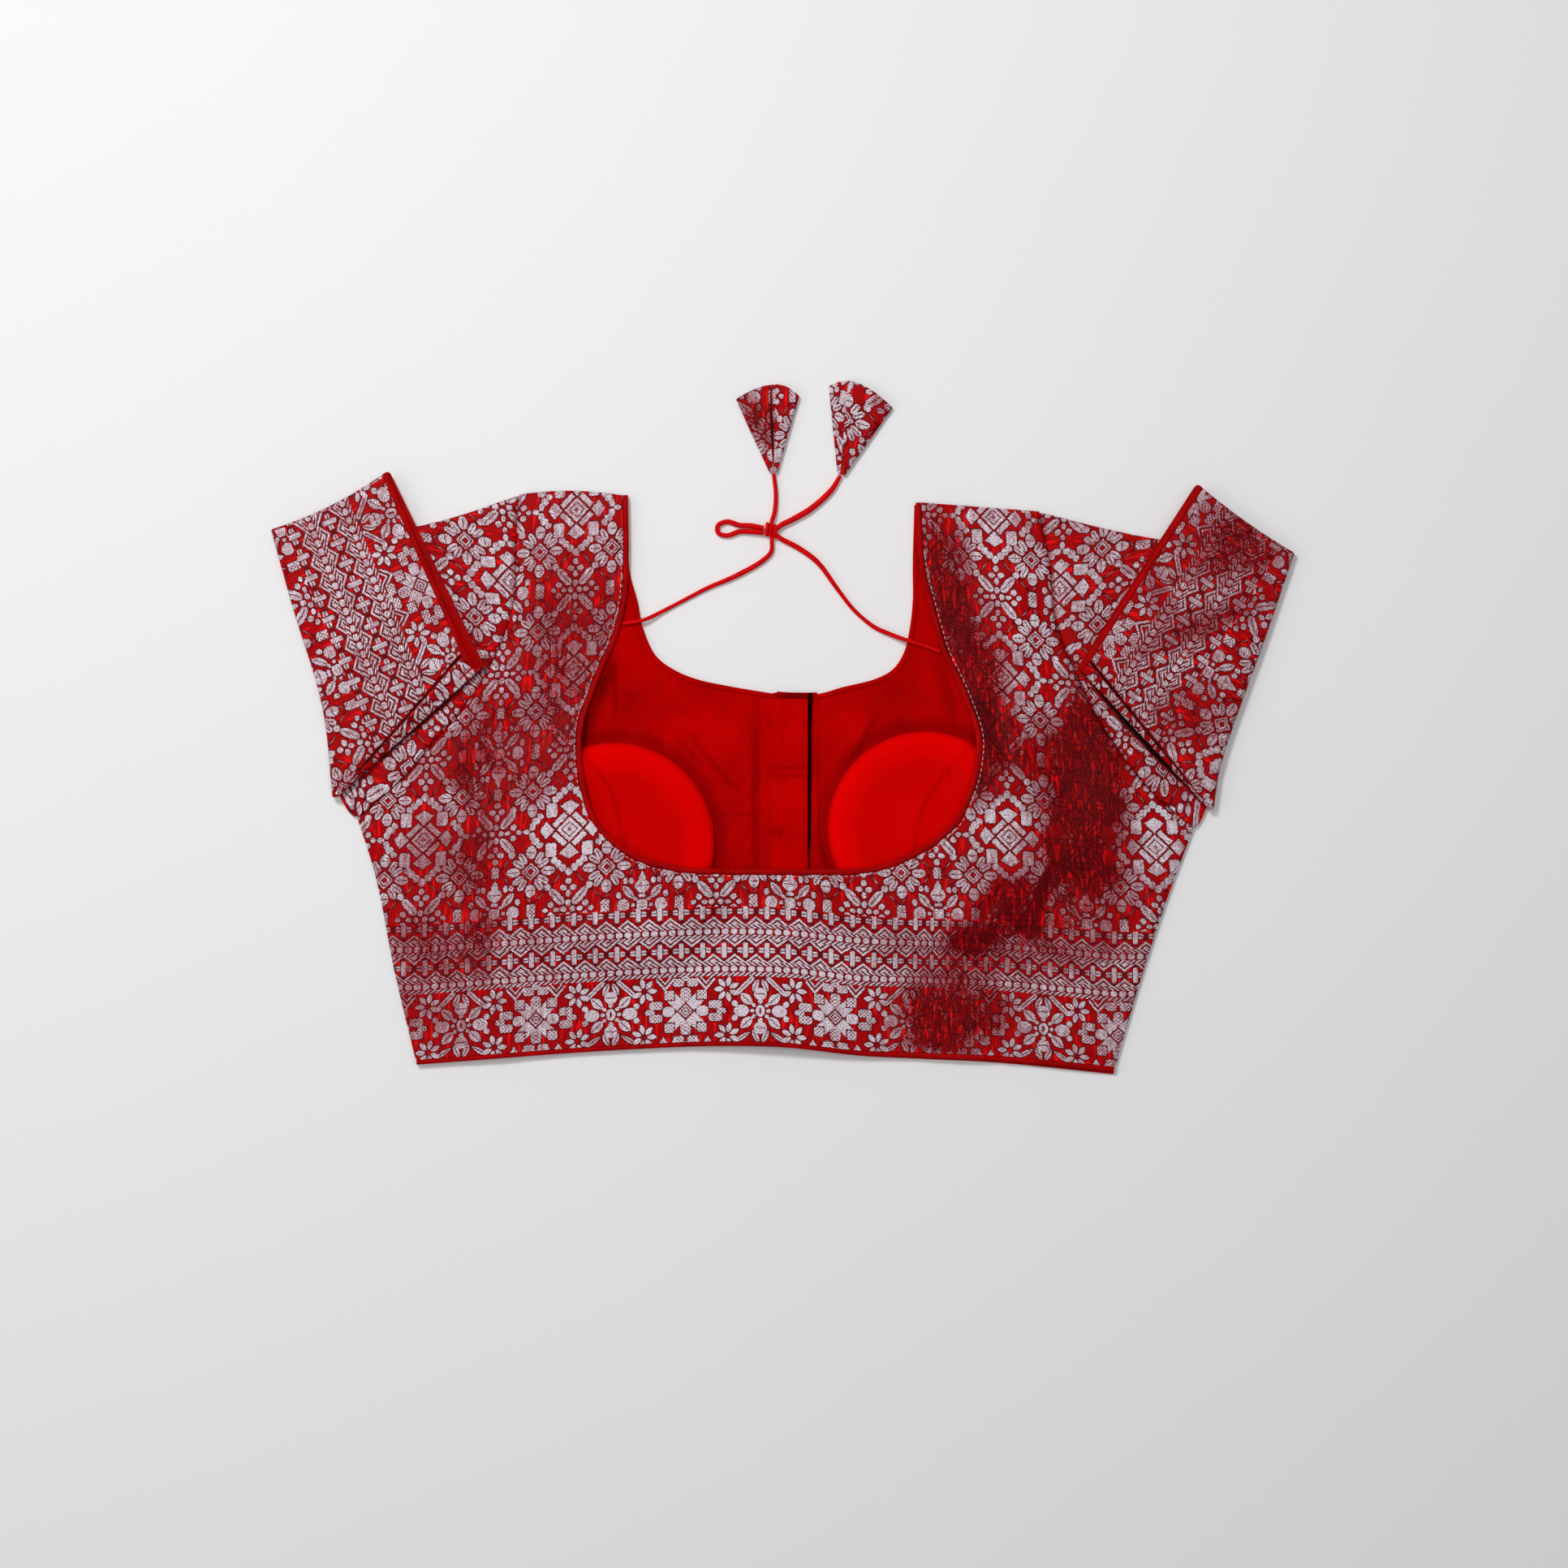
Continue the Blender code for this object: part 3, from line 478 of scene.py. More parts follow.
FLOWER = {
    "side petal": Shape(10.4, 0.0, 4.2, 2.9, 0, 2.2, 1.8),
    "high petal": Shape(0.0, 11.8, 3.1, 4.2, 0, 1.8, 2.2),
    "low slant petal": Shape(7.4, 5.0, 4.0, 2.0, 34, *BLUNT),
    "high slant petal": Shape(4.9, 8.2, 4.0, 2.0, 58, *BLUNT),
}
BETWEEN = {
    "upper bow": Shape(22.0, 49.0, 2.7, 4.7, 0, *TILE),
    "side bow": Shape(44.0, 24.0, 2.5, 3.6, 0, *TILE),
    "dot by cross": Shape(12.4, 34.8, 2.2, 2.2, 0, *ROUND),
    "dot by side cross": Shape(34.2, 13.8, 2.2, 2.2, 0, *ROUND),
    "tile by lotus": Shape(34.0, 33.9, 1.5, 1.9, 0, *TILE),
    "stem to wreath": Shape(6.9, 30.0, 3.6, 0.3, 53, *TILE),
    "stem to bow": Shape(16.6, 40.0, 2.9, 0.3, 45, *TILE),
    "petal to bow": Shape(23.3, 42.0, 2.1, 0.3, -52, *TILE),
    "side stem to bow": Shape(37.2, 18.6, 3.0, 0.3, 48, *TILE),
    "side petal to tile": Shape(37.2, 28.6, 2.4, 0.3, -56, *TILE),
}
BOWS = ("upper bow", "side bow", "tile by lotus")
PETALS = ("side petal", "high petal", "low slant petal", "high slant petal")


def star_distance(x, y):
    """A diamond in rings, with a fan on each side and an arrow between each two."""
    diamond = furthest([line_side(x, y, 1.0, 1.0, 7.8), diamond_rings(x, y, (0.9, 4.6))])
    high_fan = furthest([line_side(x, y, 1.02, -1.0, -8.4), line_side(x, y, 0.6, 1.0, 18.2)])
    side_fan = furthest([line_side(x, y, -1.0, 0.95, -8.8), line_side(x, y, 1.0, 0.7, 18.0)])
    inner = line_side(x, y, -1.0, -1.0, -9.2)
    outer = line_side(x, y, 1.0, 1.0, 14.3)
    wedge = furthest([line_side(x, y, 1.0, -0.95, 7.4), line_side(x, y, -1.02, 1.0, 7.0)])
    parts = [diamond, high_fan, side_fan, furthest([inner, outer, wedge])]
    return nearest([*parts, chart(node("CombineXYZ", x, y, 1.0), STAR)])


def field_distance(x, y):
    """Distance from the edge of the field's silver, from a place folded into a quarter of the repeat."""
    quarter = node("CombineXYZ", x, y, 1.0)
    holes = small_holes(x, y)
    parts = [chart(quarter, BETWEEN, (), BOWS, holes), star_distance(x, y)]
    to_right = node("Math SUBTRACT", FIELD_WIDE / 2, x)
    to_top = node("Math SUBTRACT", FIELD_HIGH / 2, y)
    scaled = node("Math MULTIPLY", y, FIELD_WIDE / FIELD_HIGH)
    beside = node("Math GREATER_THAN", x, scaled)
    cross_x = node("Mix", beside, x, to_right)
    cross_y = node("Mix", beside, to_top, y)
    parts.append(chart(node("CombineXYZ", cross_x, cross_y, 1.0), CROSS, ("long leaf",)))
    parts.append(chart(node("CombineXYZ", to_right, to_top, 1.0), LOTUS, ("leaf", "bud")))
    petal_x = node("Math ABSOLUTE", node("Math ADD", x, -22.6))
    petal_y = node("Math ABSOLUTE", node("Math ADD", y, -24.5))
    hole = line_side(petal_x, petal_y, -1.0, -1.0, -1.9)
    ring = furthest([line_side(petal_x, petal_y, 1.0, 1.0, 5.6), hole])
    parts.append(node("Math MAXIMUM", ring, diamond_rings(petal_x, petal_y, (3.9,))))
    parts.append(chart(node("CombineXYZ", petal_x, petal_y, 1.0), FLOWER, PETALS))
    return nearest(parts)


# %% [markdown]
# ### The border
#
# A broad border runs along the hem and both sleeve ends: a row of round flowers and stars, then two bands of
# nested zigzags with beads along their middles and a row of crosses between them, and a row of half crosses
# where the field begins. Its chart repeats every 92 mm, with seven crosses and seventeen beads in that.

# %% Border of flowers, zigzags and crosses
BORDER_REPEAT = 92.0
CROSS_PITCH = BORDER_REPEAT / 7
BEAD_PITCH = BORDER_REPEAT / 17
CROSS_OFFSET = 4.0
CROSS_ROW, BAND_ROW, HALF_CROSS_ROW = 37.1, 11.5, 61.0
FLOWER_TOP, BORDER_TOP = 21.2, 64.0
ROUND_FLOWER = {
    "ring": Shape(0.0, 0.0, 3.0, 3.8, 0, *ROUND),
    "bud": Shape(0.0, 10.4, 4.1, 3.9, 0, *ROUND),
    "bud leaf": Shape(2.9, 15.6, 4.4, 1.9, 116, *LEAF),
    "slant leaf": Shape(8.5, 7.2, 5.0, 3.0, 42, *LEAF),
    "fan": Shape(11.7, 0.0, 4.8, 3.8, 0, 2.4, 1.7),
    "fan dot": Shape(15.8, 4.4, 2.0, 2.0, 0, *ROUND),
    "side sepal": Shape(5.0, 0.0, 1.5, 1.3, 0, *ROUND),
    "high sepal": Shape(0.0, 5.8, 1.7, 1.5, 0, *ROUND),
    "slant sepal": Shape(4.0, 3.4, 1.5, 1.3, 40, *ROUND),
}
BORDER_STAR = {
    "side fan": Shape(10.4, 0.0, 3.9, 3.3, 0, 2.2, 3.0),
    "high fan": Shape(0.0, 10.1, 3.4, 4.6, 0, 3.4, 3.0),
    "tile": Shape(10.0, 10.0, 3.1, 3.0, 0, *TILE),
    "cluster": Shape(18.3, 3.9, 4.3, 2.7, 0, 5.0, 3.0),
    "cluster end": Shape(22.0, 0.0, 3.2, 1.9, 0, 3.0, 3.0),
    "roof": Shape(4.4, 17.6, 3.5, 2.7, 0, 5.0, 4.0),
    "roof top": Shape(0.0, 20.2, 2.7, 1.8, 0, *TILE),
}
BORDER_TRIMS = {
    "slant bar": Shape(9.4, 15.6, 7.8, 1.6, -43, *TILE),
    "low leaf": Shape(11.2, -16.2, 6.0, 1.6, 148, *LEAF),
    "low triangle": Shape(32.4, -19.8, 3.1, 4.6, 0, *POINTED),
    "low second triangle": Shape(39.4, -19.8, 3.1, 4.0, 0, *POINTED),
}
BLOCKS = ("tile", "cluster", "cluster end", "roof", "roof top", "high fan")
SMALL_PETAL = Shape(4.9, 0.0, 3.3, 1.75, 0, *LEAF)


def rosette(x, y, petals):
    """A flower of equal petals round a middle, by folding the angle round it."""
    angle = node("Math ARCTAN2", y, x)
    folded = node("Math PINGPONG", angle, math.pi / petals)
    reach = node("VectorMath LENGTH", node("CombineXYZ", x, y))
    ahead = node("Math MULTIPLY", reach, node("Math COSINE", folded))
    aside = node("Math MULTIPLY", reach, node("Math SINE", folded))
    return silver_shape(node("CombineXYZ", ahead, aside, 1.0), SMALL_PETAL)[0]


def strip_line(depth, middle, half):
    """Distance from a line of silver that runs along a zigzag at this depth under its edge."""
    off = node("Math ABSOLUTE", node("Math ADD", depth, -middle))
    return node("Math ADD", off, -half)


def border_bands(run, high):
    """Zigzag bands and rows of crosses, from the place along the border and the height over its flowers."""
    half_pitch = CROSS_PITCH / 2
    saw = node("Math PINGPONG", node("Math ADD", run, -CROSS_OFFSET), half_pitch)
    over = node("Math ABSOLUTE", node("Math ADD", high, -CROSS_ROW))
    band = node("Math ABSOLUTE", node("Math ADD", over, -BAND_ROW))
    edge_over = node("Math MULTIPLY_ADD", saw, 5.2 / half_pitch, 4.4)
    depth = node("Math MULTIPLY", node("Math SUBTRACT", edge_over, band), 0.78)
    inside = node("Math SUBTRACT", 2.2, depth)
    zigzag = nearest([strip_line(depth, 0.75, 0.78), inside])
    slant = node("Math MULTIPLY_ADD", run, 0.57, node("Math MULTIPLY", band, 0.82))
    feather = node("Math ADD", node("Math PINGPONG", slant, 0.95), -0.66)
    in_feather = node("Math LESS_THAN", band, 4.4)
    strip = node("Mix", in_feather, zigzag, feather)
    bead_x = node("Math PINGPONG", run, BEAD_PITCH / 2)
    bead = silver_shape(node("CombineXYZ", bead_x, band, 1.0), Shape(0.0, 0.0, 2.3, 1.9, 0, 2.6, 2.6))[0]
    in_beads = node("Math LESS_THAN", band, 2.1)
    strip = node("Mix", in_beads, strip, bead)
    to_half = node("Math ABSOLUTE", node("Math ADD", high, -HALF_CROSS_ROW))
    row = node("Math MINIMUM", over, to_half)
    cross = node("CombineXYZ", saw, row, 1.0)
    flat = silver_shape(cross, Shape(0.0, 0.0, 5.4, 1.75, 0, *TILE))[0]
    upright = silver_shape(cross, Shape(0.0, 0.0, 1.65, 5.1, 0, *TILE))[0]
    gap = node("Math SUBTRACT", 0.25, upright)
    middle_line = node("Math SUBTRACT", 0.12, row)
    flat = furthest([flat, gap, middle_line])
    return nearest([strip, flat, upright])


def border_distance(run, x, high):
    """Distance from the edge of the border's silver. x is the place along it, folded into half a repeat."""
    y = node("Math ABSOLUTE", high)
    from_star = node("Math SUBTRACT", BORDER_REPEAT / 2, x)
    here = node("CombineXYZ", x, y, 1.0)
    holes = small_holes(x, high)
    flower = chart(here, ROUND_FLOWER, ("slant leaf", "bud", "bud leaf"))
    slit = silver_shape(here, Shape(0.0, 0.0, 0.5, 1.4, 0, *ROUND))[0]
    flower = furthest([flower, node("Math SUBTRACT", 0.0, slit)])
    star = chart(node("CombineXYZ", from_star, y, 1.0), BORDER_STAR, (), BLOCKS, holes)
    diamond = furthest([line_side(from_star, y, 1.0, 1.0, 4.4), diamond_rings(from_star, y, (0.5, 2.6))])
    inner = line_side(from_star, y, -1.0, -1.0, -5.4)
    wedge = node("Math ABSOLUTE", node("Math SUBTRACT", from_star, y))
    past_side = node("Math ADD", from_star, -6.6)
    notch = node("Math MINIMUM", past_side, node("Math ADD", y, -6.6))
    arrow = furthest([inner, node("Math ADD", wedge, -5.0), notch])
    trims = chart(node("CombineXYZ", x, high, 1.0), BORDER_TRIMS, ("slant bar", "low leaf"))
    upper = rosette(node("Math ADD", x, -20.6), node("Math ADD", high, -13.2), 7)
    lower = rosette(node("Math ADD", x, -20.4), node("Math ADD", high, 15.0), 7)
    hook_x = node("Math ABSOLUTE", node("Math ADD", x, -33.4))
    hook = node("Math MULTIPLY_ADD", hook_x, -1.15, node("Math ADD", high, -13.6))
    hook = node("Math MULTIPLY", hook, 0.66)
    thick_line = node("Math ADD", node("Math ABSOLUTE", hook), -0.8)
    hook = nearest([thick_line, strip_line(hook, 2.3, 0.6)])
    hook = furthest([hook, node("Math ADD", hook_x, -5.6)])
    row = nearest([flower, star, diamond, arrow, trims, upper, lower, hook])
    under = node("Math LESS_THAN", high, FLOWER_TOP)
    return node("Mix", under, border_bands(run, high), row)


# %% [markdown]
# ### Thread and sheen
#
# Silver thread is flat and shiny, so it is bright where it faces the lamp and rose-brown where the cloth
# turns away; further round, only single threads still glint and the red satin is nearly black. That is a
# tone from 0 to 1, given at each point of a piece by soft patches listed in tables. Fine dark strokes stand
# for the threads that bind the silver: real ones are 0.3 mm apart, and they are drawn 1.25 mm apart so that
# they still show. Short bright streaks run up the ground, where the satin's long floats catch the light.

# %% The brocade finish
THREAD_PITCH = 1.25
THREAD_WAVE = 3.0
WANDER_SIZE, WANDER = 1.1, 1.3
STREAKS = (0.5, 0.07, 0.0)
FLOATS = (1.7, 0.12, 0.0)


def brocade_finish(name):
    """Brocade, from the cloth places that a piece carries in its maps called field and border."""
    finish = open_finish(name)
    scale = (CLOTH_UNIT, CLOTH_UNIT, 0.0)
    field = node("VectorMath MULTIPLY", node("UVMap", uv_map="field"), scale)
    border = node("VectorMath MULTIPLY", node("UVMap", uv_map="border"), scale)
    high = node("SeparateXYZ", border, out=1)
    tone = node("Attribute", attribute_name="tone", out=2)
    wander = node("TexNoise", field, WANDER_SIZE, 1.0, out=1)
    nudge = node("VectorMath SUBTRACT", wander, (0.5, 0.5, 0.5))
    nudge = node("VectorMath MULTIPLY", nudge, (WANDER, WANDER, 0.0))
    wavering = node("VectorMath ADD", field, nudge)
    x = node("Math PINGPONG", node("SeparateXYZ", wavering), FIELD_WIDE / 2)
    y = node("Math PINGPONG", node("SeparateXYZ", wavering, out=1), FIELD_HIGH / 2)
    from_field = field_distance(x, y)
    nudge = node("VectorMath MULTIPLY", nudge, (0.6, 0.6, 0.0))
    wavering = node("VectorMath ADD", border, nudge)
    border_run = node("SeparateXYZ", wavering)
    border_x = node("Math PINGPONG", border_run, BORDER_REPEAT / 2)
    from_border = border_distance(border_run, border_x, node("SeparateXYZ", wavering, out=1))
    in_field = node("Math GREATER_THAN", high, BORDER_TOP)
    distance = node("Mix", in_field, from_border, from_field)

    folded_x = node("Mix", in_field, border_x, x)
    folded_y = node("Mix", in_field, node("Math ABSOLUTE", high), y)
    bend = node("Math MULTIPLY", node("TexNoise", field, 0.2, 0.0), THREAD_WAVE)
    slope = node("Math MULTIPLY_ADD", folded_x, 0.5, bend)
    slope = node("Math MULTIPLY_ADD", folded_y, 0.86, slope)
    thread = node("Math SINE", node("Math MULTIPLY", slope, math.tau / THREAD_PITCH))
    dash = node("TexNoise", field, 0.75, 2.0, 0.6)
    stretched = node("VectorMath MULTIPLY", field, (0.44, 0.13, 0.0))
    cloudy = node("TexNoise", stretched, 1.0, 3.0, 0.65)
    # Painted light of the brocade: the tone with a cloudy noise, from turned away at 0 to facing the lamp at
    # 1.
    lit_tone = node("Math MULTIPLY_ADD", node("Math ADD", cloudy, -0.5), 1.0, tone)
    # The thread strokes widen where the painted light is low.
    gap = node("Math MULTIPLY_ADD", lit_tone, -1.5, thread)
    line = node("MapRange", gap, -1.1, -0.6)
    line = node("Math MULTIPLY", line, node("MapRange", dash, 0.4, 0.52))
    speckle = node("TexNoise", field, 1.0, 1.0)
    # Painted shade: where the light is low the silver is taken away, as if unlit, leaving a few glinting
    # threads.
    silver_hidden_by_shade = node("MapRange", lit_tone, 0.0, 0.6, 0.92, 0.0)
    kept = node("Math MULTIPLY_ADD", thread, -0.12, speckle)
    kept = node("Math SUBTRACT", kept, silver_hidden_by_shade)
    kept = node("MapRange", kept, -0.06, 0.01)
    cover = node("MapRange", distance, -0.02, -0.3)
    silver = node("Math MULTIPLY", cover, kept)

    # Lit and shaded copies of the silver, mixed by the painted light.
    bright = node("MapRange", lit_tone, 0.5, 0.85)
    dim = node("MapRange", lit_tone, 0.1, 0.45)
    shaded_zari = node("Mix RGBA", dim, srgb("#7c2630"), srgb("#b89099"))
    zari = node("Mix RGBA", bright, shaded_zari, srgb("#f4e4ee"))
    grain = node("MapRange", dash, 0.3, 0.7, 0.82, 1.08)
    zari = node("VectorMath MULTIPLY", zari, node("CombineXYZ", grain, grain, grain))
    # Painted shade along the inside of each silver edge; the strokes' colour follows the painted light.
    rim = node("MapRange", distance, -0.3, -0.05, 0.0, 0.35)
    dark = node("Math MAXIMUM", node("Math MULTIPLY", line, 0.8), rim)
    stroke = node("Mix RGBA", bright, srgb("#8c000c"), srgb("#400e20"))
    zari = node("Mix RGBA", dark, zari, stroke)

    float_place = node("VectorMath MULTIPLY", field, FLOATS)
    floats = node("TexNoise", float_place, 1.0, 1.0)
    # Painted glints: short bright streaks on the satin's floats, fainter where it is turned from the light.
    streak_place = node("VectorMath MULTIPLY", field, STREAKS)
    streak = node("MapRange", node("TexNoise", streak_place, 1.0, 1.0), 0.55, 0.68)
    # Lit and shaded copies of the red ground, mixed by the painted light.
    turned = node("MapRange", lit_tone, 0.05, 0.5)
    shaded_ground = node("Mix RGBA", turned, srgb("#3a0002"), srgb("#920004"))
    lit = node("Mix RGBA", turned, srgb("#a40005"), srgb("#bc0006"))
    ground = node("Mix RGBA", floats, shaded_ground, lit)
    glow = node("Math MULTIPLY", streak, node("MapRange", turned, 0.0, 1.0, 0.65, 0.85))
    ground = node("Mix RGBA", glow, ground, srgb("#ff0d0d"))
    outline = node("Math ABSOLUTE", distance)
    shade = node("MapRange", outline, 0.2, 0.65, 0.2, 1.0)
    ground = node("Mix RGBA", shade, srgb("#460008"), ground)

    colour = node("Mix RGBA", silver, ground, zari)
    # Painted shadow: below a tone of 0, in gaps and under folds, the colour goes nearly black.
    painted_darkness = node("MapRange", tone, -0.4, 0.0, 0.04, 1.0)
    colour = node("VectorMath MULTIPLY", colour, node("CombineXYZ", painted_darkness, painted_darkness, painted_darkness))
    relief = node("Math MULTIPLY_ADD", thread, 0.5, floats)
    bump = node("Bump", 0.3, 0.0002, None, relief)
    metal = node("Math MULTIPLY", silver, 0.12)
    rough = node("MapRange", silver, 0.0, 1.0, 0.5, 0.55)
    shine = {"Normal": bump, "Specular IOR Level": 0.06}
    close_finish(node("BsdfPrincipled", colour, metal, rough, named=shine))
    return finish


brocade = brocade_finish("silk_brocade_with_silver_zari")

# %% [markdown]
# ## Plain red cloth
#
# Four plain cloths finish the blouse. The bindings and strings are satin cut on the bias, smooth and a
# little shiny. The lining is plain cotton with a faint criss-cross of threads, and the cups are covered with
# a brushed knit that looks soft and very even. Real threads are 0.2 to 0.3 mm apart; here they are drawn
# 1.3 mm apart, so that they show at all, and very faint.

# %% Satin, lining and cup cloth
WEAVE_PITCH = 1.3


def plain_cloth(name, dark, light, rough, relief, gloss, blotch):
    """A plain woven cloth. blotch is the size in millimetres of its soft patches."""
    finish = open_finish(name)
    place = node("VectorMath MULTIPLY", node("TexCoord", out=3), (1000.0, 1000.0, 1000.0))
    warp = node("Math MULTIPLY", node("SeparateXYZ", place), math.tau / WEAVE_PITCH)
    weft = node("Math MULTIPLY", node("SeparateXYZ", place, out=1), math.tau / WEAVE_PITCH)
    warp = node("Math SINE", warp)
    weave = node("Math MULTIPLY", warp, node("Math SINE", weft))
    patches = node("TexNoise", place, 1 / blotch, 3.0)
    slub = node("TexNoise", node("VectorMath MULTIPLY", place, (1.1, 0.12, 1.0)), 1.0, 2.0)
    mixed = node("Math MULTIPLY_ADD", weave, 0.09, patches)
    mixed = node("Math MULTIPLY_ADD", node("Math ADD", slub, -0.5), 0.5, mixed)
    share = node("MapRange", mixed, 0.3, 0.7)
    colour = node("Mix RGBA", share, srgb(dark), srgb(light))
    # Painted light and shade: the piece's tone darkens or lightens the red.
    shade = node("Math ADD", node("Attribute", attribute_name="tone", out=2), 1.0)
    colour = node("VectorMath MULTIPLY", colour, node("CombineXYZ", shade, shade, shade))
    height = node("Math MULTIPLY_ADD", weave, 0.35, slub)
    bump = node("Bump", relief, 0.0003, None, height)
    shine = {"Normal": bump, "Roughness": rough, "Specular IOR Level": gloss}
    close_finish(node("BsdfPrincipled", colour, named=shine))
    return finish


satin = plain_cloth("bias_cut_silk_satin", "#920002", "#b20003", 0.55, 0.25, 0.04, 14.0)
cord_satin = plain_cloth("satin_cord", "#c80004", "#e40004", 0.5, 0.3, 0.06, 5.0)
cotton = plain_cloth("plain_cotton_lining", "#aa0000", "#c60000", 0.9, 0.35, 0.02, 40.0)
band_cotton = plain_cloth("cotton_hook_band", "#b40000", "#cc0000", 0.9, 0.35, 0.02, 30.0)
brushed_knit = plain_cloth("brushed_knit_cup_cover", "#e00000", "#ee0000", 0.9, 0.2, 0.02, 60.0)

# %% Stitching thread
thread_finish = open_finish("white_cotton_thread")
twist = node("TexNoise", node("TexCoord", out=3), 1500.0, 1.0)
fibre = node("Mix RGBA", twist, srgb("#b8a8ae"), srgb("#efe6ea"))
close_finish(node("BsdfPrincipled", fibre, named={"Roughness": 0.7, "Sheen Weight": 0.2}))

# %% [markdown]
# ## Strings
#
# Two fabric cords leave the back's neck, are tied to each other in a half bow, and each ends in a tassel.
# They come before the cloth, since they are the only parts that lie free. Each is one smooth line with a
# round bevel, which keeps its length exact. The real ones are a soft tube that lies wider in places, so
# each line has a fullness at even steps along it. The left string comes out of the knot as the right tail,
# and the right string as the left one.

# %% The cords' lines, from the edge of the back's neck binding to the tassels
CORD = 2.4
ON_SURFACE = CORD / 2 + 0.05
Route = namedtuple("Route", "x y z", defaults=(ON_SURFACE,))
STRING_LEFT = [
    Route(-98.3, 92.0, 4.1), Route(-91.5, 92.8, 4.1), Route(-84.5, 94.4, 4.0), Route(-75.0, 99.0, 1.9),
    Route(-61.5, 106.0), Route(-46.0, 114.0), Route(-29.5, 121.0),
    Route(-12.5, 130.5), Route(-6.8, 136.5, 1.6), Route(-6.4, 143.9, 2.2), Route(-4.6, 148.4, 2.6),
]
TAIL_RIGHT = [
    Route(-1.6, 152.0, 2.3), Route(7.0, 156.4, 1.7), Route(18.0, 163.0), Route(30.0, 174.0),
    Route(35.6, 183.0, 1.9),
]
STRING_RIGHT = [
    Route(97.0, 74.6, 4.1), Route(88.0, 78.0, 4.1), Route(75.5, 82.0, 4.2), Route(66.0, 85.6, 2.1),
    Route(56.5, 90.0), Route(44.5, 100.0), Route(34.5, 112.5), Route(21.5, 130.0),
    Route(9.5, 138.8), Route(-2.2, 145.2, 2.2), Route(-6.4, 149.6, 2.7),
]
TAIL_LEFT = [
    Route(-6.6, 154.4, 2.3), Route(-4.9, 160.0, 1.7), Route(-4.0, 171.0), Route(-5.4, 184.4, 1.9),
]
LOOP = [
    Route(-11.5, 150.7, 2.4), Route(-19.5, 152.2, 1.6), Route(-26.5, 152.6),
    Route(-34.0, 154.8), Route(-39.6, 152.4), Route(-39.4, 147.8),
    Route(-34.0, 146.2), Route(-26.5, 148.6), Route(-19.5, 148.6, 1.8), Route(-11.5, 147.9, 2.4),
]


def bevelled_line(name, points, width, finish, plump=(1.0, 1.0)):
    """A curve through these points with a round section. plump is its fullness at even steps along it."""
    curve = bpy.data.curves.new(name, "CURVE")
    curve.dimensions = "3D"
    curve.bevel_depth = width / 2 * MM
    curve.bevel_resolution = 4
    curve.use_fill_caps = True
    spline = curve.splines.new("POLY")
    spline.points.add(len(points) - 1)
    fullness = np.interp(np.linspace(0.0, 1.0, len(points)), np.linspace(0.0, 1.0, len(plump)), plump)
    for knot, point, full in zip(spline.points, points, fullness):
        raised = float(point[2]) + (float(full) - 1.0) * width / 2
        knot.co = (float(point[0]) * MM, float(point[1]) * MM, raised * MM, 1.0)
        knot.radius = float(full)
    spline.use_smooth = True
    curve.materials.append(finish)
    piece = bpy.data.objects.new(name, curve)
    bpy.context.scene.collection.objects.link(piece)
    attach(piece, "root")
    return piece


LEFT_FULLNESS = (1.0, 1.0, 1.0, 0.95, 1.05, 1.3, 1.2, 1.0, 1.1, 1.35, 1.55, 1.5, 1.0)
RIGHT_FULLNESS = (1.0, 1.0, 1.1, 1.15, 1.0, 1.05, 1.3, 1.35, 1.1, 1.0, 1.15, 1.1, 0.95)
LOOP_FULLNESS = (1.3, 1.35, 1.3, 1.2, 1.25, 1.2, 1.3, 1.35, 1.3)
left_line = smooth_line(STRING_LEFT + TAIL_RIGHT, 5)
right_line = smooth_line(STRING_RIGHT + TAIL_LEFT, 5)
loop_line = smooth_line(LOOP, 6)
left_string = bevelled_line("left_string", left_line, CORD, cord_satin, LEFT_FULLNESS)
right_string = bevelled_line("right_string", right_line, CORD, cord_satin, RIGHT_FULLNESS)
bow_loop = bevelled_line("bow_loop", loop_line, CORD, cord_satin, LOOP_FULLNESS)
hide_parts("string_left", "tail_right")
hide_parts("string_right", "tail_left")
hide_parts("loop")
for name, line in (("left", left_line), ("right", right_line), ("loop", loop_line)):
    print(name, round(line_length(line), 1), "mm of cord")

# %% [markdown]
# The knot is the same cord wound round both strings and pulled tight. A short coil, flattened from above,
# shows its turns where a plain lump wouldn't.

# %% The knot's turns
KNOT_MIDDLE = Route(-6.9, 149.3, 2.65)
KNOT_AXIS = np.array([0.97, -0.24])
KNOT_TURNS, KNOT_LONG, KNOT_WIDE, KNOT_HIGH = 2.6, 6.4, 3.3, 1.35
turns = np.linspace(0.0, KNOT_TURNS, 66)
run = (turns / KNOT_TURNS - 0.5) * KNOT_LONG
around = KNOT_WIDE * np.cos(math.tau * turns)
knot_line = np.column_stack([
    KNOT_MIDDLE.x + run * KNOT_AXIS[0] - around * KNOT_AXIS[1],
    KNOT_MIDDLE.y + run * KNOT_AXIS[1] + around * KNOT_AXIS[0],
    KNOT_MIDDLE.z + KNOT_HIGH * np.sin(math.tau * turns),
])
knot_wrap = bevelled_line("knot_wrap", knot_line, CORD, cord_satin)
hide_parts("knot")
print(round(line_length(knot_line), 1), "mm of cord in the knot")

# %% [markdown]
# ## The back
#
# The back is one large piece with a deep U neck. It lies over the closing and the two cups, so it swells
# over them, and it carries a few long soft drags and pressed creases. It is made from sections that run from
# the neck edge to the outline, filled with small quads, and its height is worked out for every point: the
# lie of the cloth first, then creases, then small ripples. Along the armholes, sides and shoulders it bends
# down to meet the fronts, as a sewn edge does.

